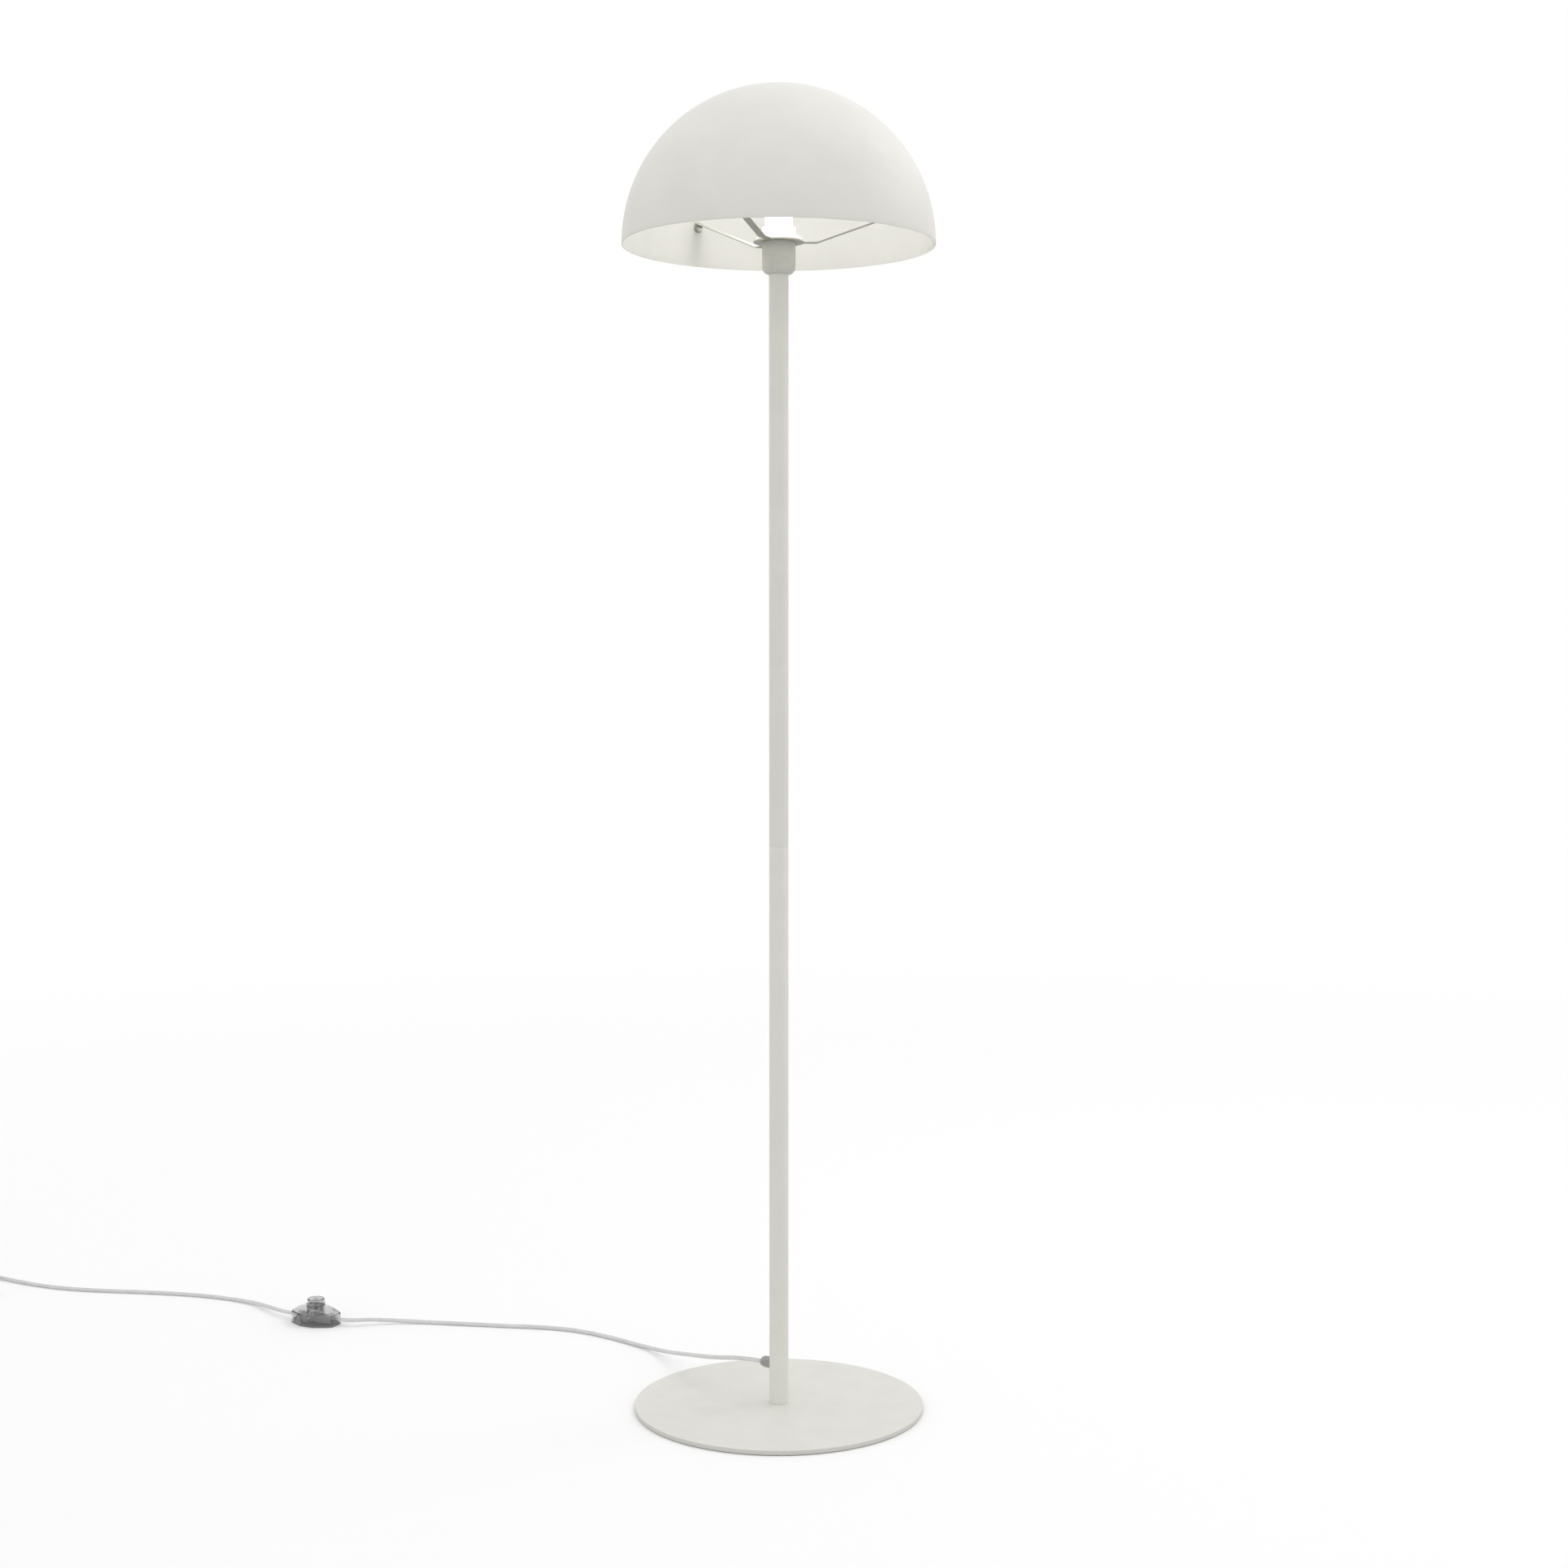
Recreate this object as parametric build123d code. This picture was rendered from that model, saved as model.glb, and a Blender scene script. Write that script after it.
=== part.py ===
from build123d import *
import math
import os

os.makedirs("parts", exist_ok=True)

# Mushroom floor lamp, in millimetres, +Z up.
# The origin lies on the floor under the middle of the base plate, and the pole is the Z axis.

# Fits, as radial gaps
screwed_gap = 0.05  # threads and parts pushed into one another
sliding_gap = 0.25  # the foot switch's button and ratchet
loose_gap = 0.15  # a part that drops into its seat, or a cord in its hole
overrun = 1.0  # how far a cut runs past its face, or a joined shape into the next

# Base plate and its pads
pad_thickness = 0.8
pad_radius = 9.0
pad_circle_radius = 160.0
pad_count = 6
base_radius = 188.5
base_thickness = 6.0
base_edge_chamfer = 0.8
base_screw_radius = 4.0
base_screw_head_radius = 8.0
base_screw_length = 26.0
base_screw_socket_radius = 3.0
base_screw_socket_depth = 2.4

# Pole: two equal tubes screwed together
pole_radius = 12.5
pole_wall = 1.5
pole_tube_length = 731.0
foot_insert_length = 24.0
joint_sleeve_length = 26.0
joint_socket_length = 24.0
joint_thread_radius = 7.0
joint_thread_length = 14.0
joint_bore_radius = 4.0
top_insert_length = 15.0

# Cord outlet in the pole
outlet_height = 50.6  # above the base plate
outlet_azimuth = 150.0
outlet_thread_radius = 5.0
outlet_body_radius = 7.8  # across the hexagon's corners
outlet_tip_radius = 5.4
outlet_body_length = 8.6
outlet_tip_length = 4.4
outlet_nut_radius = 6.9
outlet_nut_thickness = 3.0

# Holder cup on top of the pole
cup_radius = 21.3
cup_height = 40.0
cup_wall = 1.2
cup_corner_radius = 9.0
nipple_radius = 5.0
nipple_bore_radius = 3.9
nipple_depth_in_pole = 12.0
nut_thickness = 3.0
nut_radius = 8.1

# Screw lampholder
holder_radius = 19.5
holder_wall = 2.0
holder_neck_radius = 7.5
holder_neck_length = 9.0
holder_shoulder_chamfer = 1.5
holder_cap_height = 25.0
holder_body_height = 30.0
holder_mouth_radius = 14.8
terminal_block_height = 7.0
terminal_spacing = 18.0
terminal_screw_radius = 1.6
terminal_screw_head_height = 2.0
terminal_screw_recess = 1.0
terminal_block_rise = 2.0  # above the joint between the holder's cap and body
screw_shell_radius = 14.2
screw_shell_wall = 0.5
screw_shell_height = 24.0
contact_lug_length = 4.0
centre_contact_foot = 8.0  # from the middle to the end of the strip's foot
centre_contact_bend = 3.0
centre_contact_pad = 4.0
centre_contact_width = 5.0
centre_contact_thickness = 0.5
centre_contact_rise = 2.4
lead_end_rise = 1.0  # the lead's jacket ends this far above the holder's neck
wire_run = 4.0
wire_bend_radius = 2.0

# Ring that clamps the shade's carrier
shade_ring_flange_radius = 29.5
shade_ring_flange_height = 3.0
shade_ring_cone_height = 5.0
shade_ring_radius = 21.9
shade_ring_height = 17.0

# Shade and the three-armed carrier inside it
shade_radius = 200.0
shade_thickness = 1.2
shade_rim_below_cup = 3.8  # the rim plane lies this far below the top of the cup
carrier_thickness = 2.0
carrier_ring_radius = 32.5
arm_azimuth = 3.9
arm_count = 3
arm_width = 10.0
arm_flat_radius = 48.4
tab_rise = 50.0  # stud's height above the rim plane
tab_length_down = 6.0
tab_length_up = 6.2
tab_gap = 0.3
stud_radius = 2.0
stud_length = 7.6
cap_nut_radius = 4.0
cap_nut_height = 3.2
cap_nut_dome_radius = 3.1
cap_nut_dome_height = 3.4
cap_nut_tip_radius = 1.9
cap_nut_tip_length = 1.2
stud_end_gap = 0.3

# Frosted bulb
bulb_radius = 30.0
bulb_length = 105.0
bulb_neck_radius = 17.3
bulb_neck_rise = 4.6
bulb_neck_height = 13.5
bulb_foot_radius = 13.4
bulb_cap_radius = 13.3
bulb_cap_length = 22.0
bulb_cap_shoulder = 3.0
bulb_insulator_radius = 7.0
bulb_contact_radius = 5.0
bulb_tip_height = 3.0

# Cord
cord_radius = 2.8
floor_gap = 0.1
conductor_radius = 1.1
conductor_offset = 1.3

# Foot switch on the cord
switch_x = -679.8
switch_y = 391.3
switch_azimuth = 155.0
switch_length = 73.3
switch_end_width = 23.7
switch_width = 48.6
switch_flat_length = 23.2
switch_corner_radius = 8.0
switch_wall = 1.8
switch_seam_height = 3.2
switch_rim_height = 2.5
switch_rim_thickness = 1.2
switch_side_height = 15.5
switch_crown_height = 29.5
switch_cord_height = 9.5
switch_screw_offset = 18.2
switch_screw_radius = 1.4
switch_screw_head_radius = 2.6
switch_screw_length = 12.0
switch_screw_recess = 0.3
switch_boss_radius = 2.8
collar_lip_height = 0.8
collar_bottom = 17.0
collar_wall = 0.8
button_radius = 12.5
button_wall = 1.6
button_top_height = 37.0
button_top_thickness = 2.2
button_edge_chamfer = 1.0
button_skirt_bottom = 18.8
button_leg_bottom = 14.9
button_leg_width = 6.0
button_hook_width = 5.0
button_hook_reach = 1.8
button_hook_height = 1.7
button_post_radius = 2.6
button_post_bottom = 20.3
plunger_radius = 1.9
plunger_bottom = 12.2
block_length = 56.0
block_width = 10.0
block_height = 11.6
block_pocket_length = 22.0
block_pocket_width = 8.0
block_pocket_floor = 2.4
rotor_radius = 3.6
rotor_height = 7.0
rotor_groove = 0.8
seat_radius = 6.0
seat_thickness = 1.2
spring_radius = 4.6
spring_wire_radius = 0.45
spring_turns = 4
contact_thickness = 0.5
contact_height = 4.0
contact_post_length = 2.0
contact_post_width = 3.0
contact_gap = 0.3
jacket_end = 20.0  # from the middle of the switch to the end of each cord's jacket
clamp_length = 5.0
clamp_thickness = 1.6
clamp_distance = 24.5

# Coil of the cord's spare length, with its tie
coil_heading = 146.3
coil_x = -1256.0
coil_y = 655.3
coil_outer_radius = 35.6
coil_turn_gap = 0.6
coil_lead = 6.0  # straight stretch before the first turn
tie_width = 6.0
tie_thickness = 0.7
tie_slack = 0.7
tail_bend_radius = 60.0
tail_straight = 8.0

# Two-pin plug, lying flat
plug_relief_length = 24.0
plug_relief_radius = 4.8
plug_relief_lip = 0.8
plug_relief_root = 4.0
plug_body_length = 35.0
plug_rear_width = 13.0
plug_width = 35.0
plug_shoulder = 14.0  # length of the widening rear part
plug_thickness = 14.0
plug_edge_chamfer = 1.5
pin_radius = 2.0
pin_length = 19.0
pin_tip_length = 1.2
pin_tip_radius = 1.1
pin_seat = 6.0
pin_seat_radius = 1.6
pin_spacing = 18.6

# Heights that follow from the sizes above
base_bottom = pad_thickness
base_top = base_bottom + base_thickness
pole_joint = base_top + pole_tube_length
pole_top = pole_joint + pole_tube_length
pole_bore = pole_radius - pole_wall
insert_radius = pole_bore - screwed_gap
outlet_z = base_top + outlet_height
outlet_face = pole_radius + outlet_body_length + outlet_tip_length
cup_floor = pole_top + cup_wall
cup_top = pole_top + cup_height
holder_bottom = cup_floor + nut_thickness
holder_joint = holder_bottom + holder_cap_height
holder_top = holder_joint + holder_body_height
block_top = holder_joint + terminal_block_rise
lead_top = holder_bottom + holder_neck_length + lead_end_rise
bulb_bottom = block_top + centre_contact_rise + centre_contact_thickness
carrier_top = cup_top + carrier_thickness
shade_z = cup_top - shade_rim_below_cup
shade_bore = shade_radius - shade_thickness
cord_z = cord_radius + floor_gap
layer_step = 2 * cord_radius + coil_turn_gap
coil_z = cord_radius + tie_thickness + 2 * floor_gap
button_bore = button_radius + sliding_gap
switch_block_top = switch_seam_height + block_height
# how the slanted sides of the switch face, and how far out they lie
switch_slant_azimuth = math.degrees(math.atan2(switch_length - switch_flat_length,
                                               switch_width - switch_end_width))
switch_slant_reach = (switch_length * math.cos(math.radians(switch_slant_azimuth))
                      + switch_end_width * math.sin(math.radians(switch_slant_azimuth))) / 2
plug_z = plug_thickness / 2


def disc(radius, low, high):
    """Upright cylinder between two heights."""
    return Pos(0, 0, low) * Cylinder(radius, high - low, align=(Align.CENTER, Align.CENTER, Align.MIN))


def tube(radius, bore, low, high):
    return disc(radius, low, high) - disc(bore, low, high)


def block(length, width, low, high, x=0.0, y=0.0):
    return Pos(x, y, low) * Box(length, width, high - low, align=(Align.CENTER, Align.CENTER, Align.MIN))


def turned(points):
    """Solid turned about Z from an outline of (radius, height) points."""
    with BuildPart() as solid:
        with BuildSketch(Plane.XZ):
            with BuildLine():
                Polyline(*points, close=True)
            make_face()
        revolve(axis=Axis.Z)
    return solid.part


def hexagon(radius, low, high):
    with BuildPart() as solid:
        with BuildSketch(Plane.XY.offset(low)):
            RegularPolygon(radius, 6)
        extrude(amount=high - low)
    return solid.part


def outward(azimuth, height, shape):
    """Lays a shape made along +Z so that it points away from the pole."""
    return Pos(0, 0, height) * Rot(0, 0, azimuth) * Rot(0, 90, 0) * shape


def on_switch(shape):
    """Places a shape made about the switch's own middle, with its length along X."""
    return Pos(switch_x, switch_y, 0) * Rot(0, 0, switch_azimuth) * shape


def switch_point(distance):
    """Point on the cord's line through the switch, this far from the switch's middle."""
    angle = math.radians(switch_azimuth)
    x = switch_x + distance * math.cos(angle)
    y = switch_y + distance * math.sin(angle)
    return (x, y, switch_cord_height)


def outlet_point(distance):
    """Point on the outlet's line, this far from the pole's axis."""
    angle = math.radians(outlet_azimuth)
    return (distance * math.cos(angle), distance * math.sin(angle), outlet_z)


def save(node, shape):
    shape.label = node
    export_step(shape, f"parts/{node}.step")


# Base

def base_plate():
    plate = disc(base_radius, base_bottom, base_top)
    rim_edges = plate.edges().filter_by(GeomType.CIRCLE)
    plate = chamfer(rim_edges, base_edge_chamfer)
    mouth = base_screw_head_radius + sliding_gap
    shank = base_screw_radius + sliding_gap
    sink = turned([(0, base_bottom), (mouth, base_bottom), (shank, base_bottom + mouth - shank),
                   (shank, base_top), (0, base_top)])
    return plate - sink


def base_pads():
    pad = Pos(pad_circle_radius, 0, 0) * disc(pad_radius, 0, pad_thickness)
    return Compound(children=[Rot(0, 0, 360 * i / pad_count) * pad for i in range(pad_count)])


def base_screw():
    low = base_bottom + loose_gap
    shank = base_screw_radius - screwed_gap
    head = base_screw_head_radius
    screw = turned([(0, low), (head, low), (shank, low + head - shank),
                    (shank, low + base_screw_length), (0, low + base_screw_length)])
    return screw - hexagon(base_screw_socket_radius, low, low + base_screw_socket_depth)


def foot_insert():
    return tube(insert_radius, base_screw_radius, base_top, base_top + foot_insert_length)


# Pole

def pole_lower():
    pole = tube(pole_radius, pole_bore, base_top, pole_joint)
    hole = outward(outlet_azimuth, outlet_z, disc(outlet_thread_radius + loose_gap, 0, pole_radius + overrun))
    return pole - hole


def pole_upper():
    return tube(pole_radius, pole_bore, pole_joint, pole_top)


def joint_socket():
    return tube(insert_radius, joint_thread_radius, pole_joint - joint_socket_length, pole_joint)


def joint_stud():
    sleeve = disc(insert_radius, pole_joint, pole_joint + joint_sleeve_length)
    thread = disc(joint_thread_radius - screwed_gap, pole_joint - joint_thread_length, pole_joint)
    bore = disc(joint_bore_radius, pole_joint - joint_thread_length, pole_joint + joint_sleeve_length)
    return sleeve + thread - bore


def top_insert():
    return tube(insert_radius, nipple_radius, pole_top - top_insert_length, pole_top)


# Cord outlet

def cord_outlet():
    waist = pole_radius + outlet_body_length
    seat = outlet_nut_seat()
    with BuildPart() as body:
        with BuildSketch(Plane.XY.offset(seat)):
            RegularPolygon(outlet_body_radius, 6)
        extrude(amount=waist - seat)
        with BuildSketch(Plane.XY.offset(waist)):
            RegularPolygon(outlet_body_radius, 6)
        with BuildSketch(Plane.XY.offset(outlet_face)):
            RegularPolygon(outlet_tip_radius, 6)
        loft(ruled=True)
    outside = outward(outlet_azimuth, outlet_z, body.part) - disc(pole_radius, 0, 2 * outlet_z)
    inner_end = seat - outlet_nut_thickness - loose_gap
    stem = outward(outlet_azimuth, outlet_z, disc(outlet_thread_radius, inner_end, waist))
    bore = outward(outlet_azimuth, outlet_z, disc(cord_radius + screwed_gap, 0, outlet_face + overrun))
    return outside + stem - bore


def outlet_nut_seat():
    """Distance from the pole's axis at which the nut's flat face meets the pole's bore."""
    reach = outlet_nut_radius + screwed_gap
    return math.sqrt(pole_bore ** 2 - reach ** 2)


def outlet_nut():
    seat = outlet_nut_seat()
    nut = hexagon(outlet_nut_radius, seat - outlet_nut_thickness, seat)
    nut -= disc(outlet_thread_radius + screwed_gap, seat - outlet_nut_thickness, seat)
    return outward(outlet_azimuth, outlet_z, nut)


# Holder cup and lampholder

def holder_cup():
    inner = cup_radius - cup_wall
    corner = cup_corner_radius
    slope = corner * (1 - math.cos(math.radians(45)))
    steep = corner * math.sin(math.radians(45))
    bowl = turned([
        (0, pole_top), (cup_radius - corner, pole_top),
        (cup_radius - corner + steep, pole_top + slope), (cup_radius, pole_top + corner),
        (cup_radius, cup_top), (inner, cup_top),
        (inner, pole_top + corner), (inner - slope, pole_top + corner - steep + cup_wall),
        (cup_radius - corner, cup_floor), (0, cup_floor),
    ])
    return bowl - disc(nipple_radius + loose_gap, pole_top, cup_floor)


def threaded_nipple():
    low = pole_top - nipple_depth_in_pole
    high = holder_bottom + holder_neck_length
    return tube(nipple_radius - screwed_gap, nipple_bore_radius, low, high)


def nipple_nut():
    nut = hexagon(nut_radius, cup_floor, cup_floor + nut_thickness)
    return nut - disc(nipple_radius, cup_floor, cup_floor + nut_thickness)


def lampholder_cap():
    neck_top = holder_bottom + holder_neck_length
    shoulder = neck_top - holder_wall
    inner = holder_radius - holder_wall
    return turned([
        (nipple_radius, holder_bottom), (holder_neck_radius, holder_bottom),
        (holder_neck_radius, shoulder), (holder_radius - holder_shoulder_chamfer, shoulder),
        (holder_radius, shoulder + holder_shoulder_chamfer), (holder_radius, holder_joint),
        (inner, holder_joint), (inner, neck_top), (nipple_radius, neck_top),
    ])


def lampholder_body():
    inner = holder_radius - holder_wall
    lip = holder_top - holder_wall
    return turned([
        (inner, holder_joint), (holder_radius, holder_joint), (holder_radius, holder_top),
        (holder_mouth_radius, holder_top), (holder_mouth_radius, lip), (inner, lip),
    ])


def terminal_block():
    radius = holder_radius - holder_wall - loose_gap
    insulator = disc(radius, block_top - terminal_block_height, block_top)
    for side in (-1, 1):
        hole = disc(terminal_screw_radius + screwed_gap, block_top - terminal_block_height, block_top)
        insulator -= Pos(side * terminal_spacing / 2, 0, 0) * hole
    return insulator


def terminal_screws():
    low = block_top - terminal_block_height
    shank = disc(terminal_screw_radius, low, block_top - terminal_screw_recess)
    head = disc(2 * terminal_screw_radius, low - terminal_screw_head_height, low)
    return Compound(children=[Pos(side * terminal_spacing / 2, 0, 0) * (shank + head) for side in (-1, 1)])


def screw_shell():
    high = block_top + screw_shell_height
    shell = tube(screw_shell_radius, screw_shell_radius - screw_shell_wall, block_top, high)
    lug_middle = screw_shell_radius - contact_lug_length / 2
    lug_top = block_top + screw_shell_wall
    lug = block(contact_lug_length, centre_contact_width, block_top, lug_top, x=lug_middle)
    return shell + (lug & disc(screw_shell_radius - screw_shell_wall / 2, block_top, high))


def centre_contact():
    """Bent strip that presses on the bulb's contact."""
    low = block_top + centre_contact_thickness / 2
    high = low + centre_contact_rise
    middle = [(-centre_contact_foot, low), (-centre_contact_bend, low), (0, high), (centre_contact_pad, high)]
    with BuildPart() as strip:
        with BuildSketch(Plane.XZ):
            with BuildLine():
                Polyline(*strip_outline(middle, centre_contact_thickness), close=True)
            make_face()
        extrude(amount=centre_contact_width / 2, both=True)
    return strip.part


def shade_ring():
    bore = holder_radius + loose_gap
    flange_top = carrier_top + shade_ring_flange_height
    top = carrier_top + shade_ring_height
    return turned([
        (bore, carrier_top), (shade_ring_flange_radius, carrier_top),
        (shade_ring_flange_radius, flange_top), (shade_ring_radius, flange_top + shade_ring_cone_height),
        (shade_ring_radius, top), (bore, top),
    ])


# Carrier and shade

def strip_outline(middle, thickness):
    """Outline of a bent strip from its middle line, with mitred bends."""
    above, below = [], []
    for i, point in enumerate(middle):
        before = middle[max(i - 1, 0)]
        after = middle[min(i + 1, len(middle) - 1)]
        first = Vector(*point) - Vector(*before) if i > 0 else Vector(*after) - Vector(*point)
        last = Vector(*after) - Vector(*point) if i < len(middle) - 1 else first
        first, last = first.normalized(), last.normalized()
        mitre = (first + last).normalized()
        normal = Vector(-mitre.Y, mitre.X)
        reach = thickness / 2 / normal.dot(Vector(-first.Y, first.X))
        above.append(Vector(*point) + normal * reach)
        below.append(Vector(*point) - normal * reach)
    return [(p.X, p.Y) for p in above + below[::-1]]


def carrier_arm():
    """One arm along +X: flat on the ring, then rising to a tab that lies against the shade."""
    rise = math.asin(tab_rise / shade_bore)
    middle_radius = shade_bore - tab_gap - carrier_thickness / 2
    tab_x = middle_radius * math.cos(rise)
    tab_z = shade_z + middle_radius * math.sin(rise)
    bend_x = tab_x - tab_length_up * math.sin(rise)
    bend_z = tab_z + tab_length_up * math.cos(rise)
    flat_z = cup_top + carrier_thickness / 2
    middle = [(carrier_ring_radius - arm_width / 2, flat_z), (arm_flat_radius, flat_z), (bend_x, bend_z)]
    with BuildPart() as arm:
        with BuildSketch(Plane.XZ):
            with BuildLine():
                Polyline(*strip_outline(middle, carrier_thickness), close=True)
            make_face()
        extrude(amount=arm_width / 2, both=True)
    half = arm_width / 2
    tab_low = half - tab_length_down
    tab_high = tab_length_up + overrun
    with BuildPart() as tab:
        face = Plane(origin=(0, 0, shade_z), x_dir=(0, 1, 0), z_dir=(math.cos(rise), 0, math.sin(rise)))
        with BuildSketch(face.offset(middle_radius - carrier_thickness / 2)):
            with Locations((0, (tab_low + tab_high) / 2)):
                Rectangle(arm_width, tab_high - tab_low)
            with Locations((0, tab_low)):
                Circle(half)
            Circle(stud_radius + loose_gap, mode=Mode.SUBTRACT)
        extrude(amount=carrier_thickness)
    return arm.part + tab.part


def shade_carrier():
    ring = disc(carrier_ring_radius, cup_top, carrier_top)
    arms = ring
    for i in range(arm_count):
        arms += Rot(0, 0, arm_azimuth + 360 * i / arm_count) * carrier_arm()
    return arms - disc(holder_radius + loose_gap, cup_top, carrier_top)


def at_tabs(shape):
    """Copies of a shape made along +Z, pointing out of the shade's middle at each tab."""
    rise = math.degrees(math.asin(tab_rise / shade_bore))
    copies = []
    for i in range(arm_count):
        azimuth = arm_azimuth + 360 * i / arm_count
        copies.append(Pos(0, 0, shade_z) * Rot(0, 0, azimuth) * Rot(0, 90 - rise, 0) * shape)
    return Compound(children=copies)


def shade():
    with BuildPart() as dome:
        with BuildSketch(Plane.XZ.offset(0)):
            with BuildLine():
                CenterArc((0, shade_z), shade_radius, 0, 90)
                CenterArc((0, shade_z), shade_bore, 0, 90)
                Line((shade_bore, shade_z), (shade_radius, shade_z))
                Line((0, shade_z + shade_bore), (0, shade_z + shade_radius))
            make_face()
        revolve(axis=Axis.Z)
    return dome.part


def shade_studs():
    stud = disc(stud_radius, shade_bore - stud_length, shade_bore + overrun) & Sphere(shade_bore)
    return at_tabs(stud)


def shade_nuts():
    seat = shade_bore - tab_gap - carrier_thickness
    flat = seat - cap_nut_height
    end = flat - cap_nut_dome_height
    nut = hexagon(cap_nut_radius, flat, seat)
    nut += turned([(0, end), (cap_nut_tip_radius, end), (cap_nut_dome_radius, end + cap_nut_tip_length),
                   (cap_nut_dome_radius, flat), (0, flat)])
    return at_tabs(nut - disc(stud_radius + screwed_gap, shade_bore - stud_length - stud_end_gap, seat))


# Bulb

def bulb_glass():
    """Frosted envelope: a ball that runs into its upright neck, outlined in short chords."""
    centre = bulb_bottom + bulb_length - bulb_radius
    neck_low = bulb_bottom + bulb_tip_height + bulb_cap_length
    outline = [(0, neck_low), (bulb_foot_radius, neck_low),
               (bulb_neck_radius, neck_low + bulb_neck_rise),
               (bulb_neck_radius, neck_low + bulb_neck_height)]
    chords = 6
    for i in range(chords + 1):
        angle = math.radians(-45 + 135 * i / chords)
        outline.append((max(bulb_radius * math.cos(angle), 0.0), centre + bulb_radius * math.sin(angle)))
    return turned(outline)


def bulb_cap():
    low = bulb_bottom + bulb_tip_height
    return turned([
        (0, low), (bulb_insulator_radius, low), (bulb_cap_radius, low + bulb_cap_shoulder),
        (bulb_cap_radius, low + bulb_cap_length), (0, low + bulb_cap_length),
    ])


def bulb_contact():
    return disc(bulb_contact_radius, bulb_bottom, bulb_bottom + bulb_tip_height)


# Foot switch, made about its own middle

def switch_outline(inset, low, high):
    end_x = switch_length / 2
    end_y = switch_end_width / 2
    side_x = switch_flat_length / 2
    side_y = switch_width / 2
    corners = [(end_x, end_y), (side_x, side_y), (-side_x, side_y), (-end_x, end_y),
               (-end_x, -end_y), (-side_x, -side_y), (side_x, -side_y), (end_x, -end_y)]
    with BuildPart() as prism:
        with BuildSketch(Plane.XY.offset(low)):
            with BuildLine():
                Polyline(*corners, close=True)
            make_face()
            if inset > 0:
                offset(amount=-inset, kind=Kind.INTERSECTION)
        extrude(amount=high - low)
    upright = prism.part.edges().filter_by(Axis.Z)
    return fillet(upright, switch_corner_radius - inset / 2)


def switch_vault(plane, half_span, side, crown, half_width):
    with BuildPart() as vault:
        with BuildSketch(plane):
            with BuildLine():
                ThreePointArc((-half_span, side), (0, crown), (half_span, side))
                Polyline((-half_span, side), (-half_span, -overrun), (half_span, -overrun), (half_span, side))
            make_face()
        extrude(amount=half_width, both=True)
    return vault.part


def switch_envelope(inset, low):
    """Housing's outer form, or the form this far inside it: a vault for each pair of sides."""
    side = switch_side_height - inset
    crown = switch_crown_height - inset
    form = switch_outline(inset, low, switch_crown_height + overrun)
    form &= switch_vault(Plane.XZ, switch_length / 2, side, crown, switch_width)
    form &= switch_vault(Plane.YZ, switch_width / 2, side, crown, switch_length)
    slanted = switch_vault(Plane.XZ, switch_slant_reach, side, crown, switch_length)
    for azimuth in (switch_slant_azimuth, -switch_slant_azimuth):
        form &= Rot(0, 0, azimuth) * slanted
    return form


def switch_base():
    rim = switch_wall + loose_gap
    high = switch_seam_height + switch_rim_height
    base = switch_outline(0, 0, switch_seam_height)
    base += switch_outline(rim, switch_seam_height, high)
    base -= switch_outline(rim + switch_rim_thickness, switch_seam_height, high)
    for side in (-1, 1):
        hole = disc(switch_screw_radius + loose_gap, 0, high)
        seat = disc(switch_screw_head_radius + loose_gap, 0, switch_seam_height / 2)
        boss_room = disc(switch_boss_radius + loose_gap, switch_seam_height, high)
        base -= Pos(0, side * switch_screw_offset, 0) * (hole + seat + boss_room)
    return base


def switch_cover():
    low = switch_seam_height
    cover = switch_envelope(0, low) - switch_envelope(switch_wall, low - overrun)
    for side in (-1, 1):
        boss = disc(switch_boss_radius, low + loose_gap, switch_crown_height)
        boss = Pos(0, side * switch_screw_offset, 0) * boss
        cover += boss & switch_envelope(switch_wall / 2, low)
        screw_hole = disc(switch_screw_radius, low, switch_screw_length + overrun)
        cover -= Pos(0, side * switch_screw_offset, 0) * screw_hole
    collar_radius = button_bore + collar_wall
    cover += disc(collar_radius, collar_bottom, switch_crown_height + collar_lip_height)
    cover -= disc(button_bore, collar_bottom - overrun, 2 * switch_crown_height)
    passage = Pos(-switch_length, 0, switch_cord_height) * Rot(0, 90, 0)
    return cover - passage * disc(cord_radius + loose_gap, 0, 2 * switch_length)


def switch_button():
    inner = button_radius - button_wall
    cap = disc(button_radius, button_leg_bottom, button_top_height)
    cap = chamfer(cap.edges().group_by(Axis.Z)[-1], button_edge_chamfer)
    under = button_top_height - button_top_thickness
    button = cap - disc(inner, button_leg_bottom, under)
    hook_start = button_radius - button_wall / 2
    hook_end = button_radius + button_hook_reach
    hook_top = button_leg_bottom + button_hook_height
    for side in (-1, 1):
        x = side * (button_leg_width + button_radius) / 2
        button -= block(button_radius, 3 * button_radius, button_leg_bottom, button_skirt_bottom, x=x)
        hook_y = side * (hook_start + hook_end) / 2
        button += block(button_hook_width, hook_end - hook_start, button_leg_bottom, hook_top, y=hook_y)
    button += disc(button_post_radius, button_post_bottom, under)
    return button + disc(plunger_radius, plunger_bottom, button_post_bottom)


def switch_block():
    body = block(block_length, block_width, switch_seam_height, switch_block_top)
    floor = switch_seam_height + block_pocket_floor
    body -= block(block_pocket_length, block_pocket_width, floor, switch_block_top)
    channel = 2 * (cord_radius + loose_gap)
    channel_floor = switch_cord_height - cord_radius - loose_gap
    return body - block(block_length, channel, channel_floor, switch_block_top)


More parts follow.
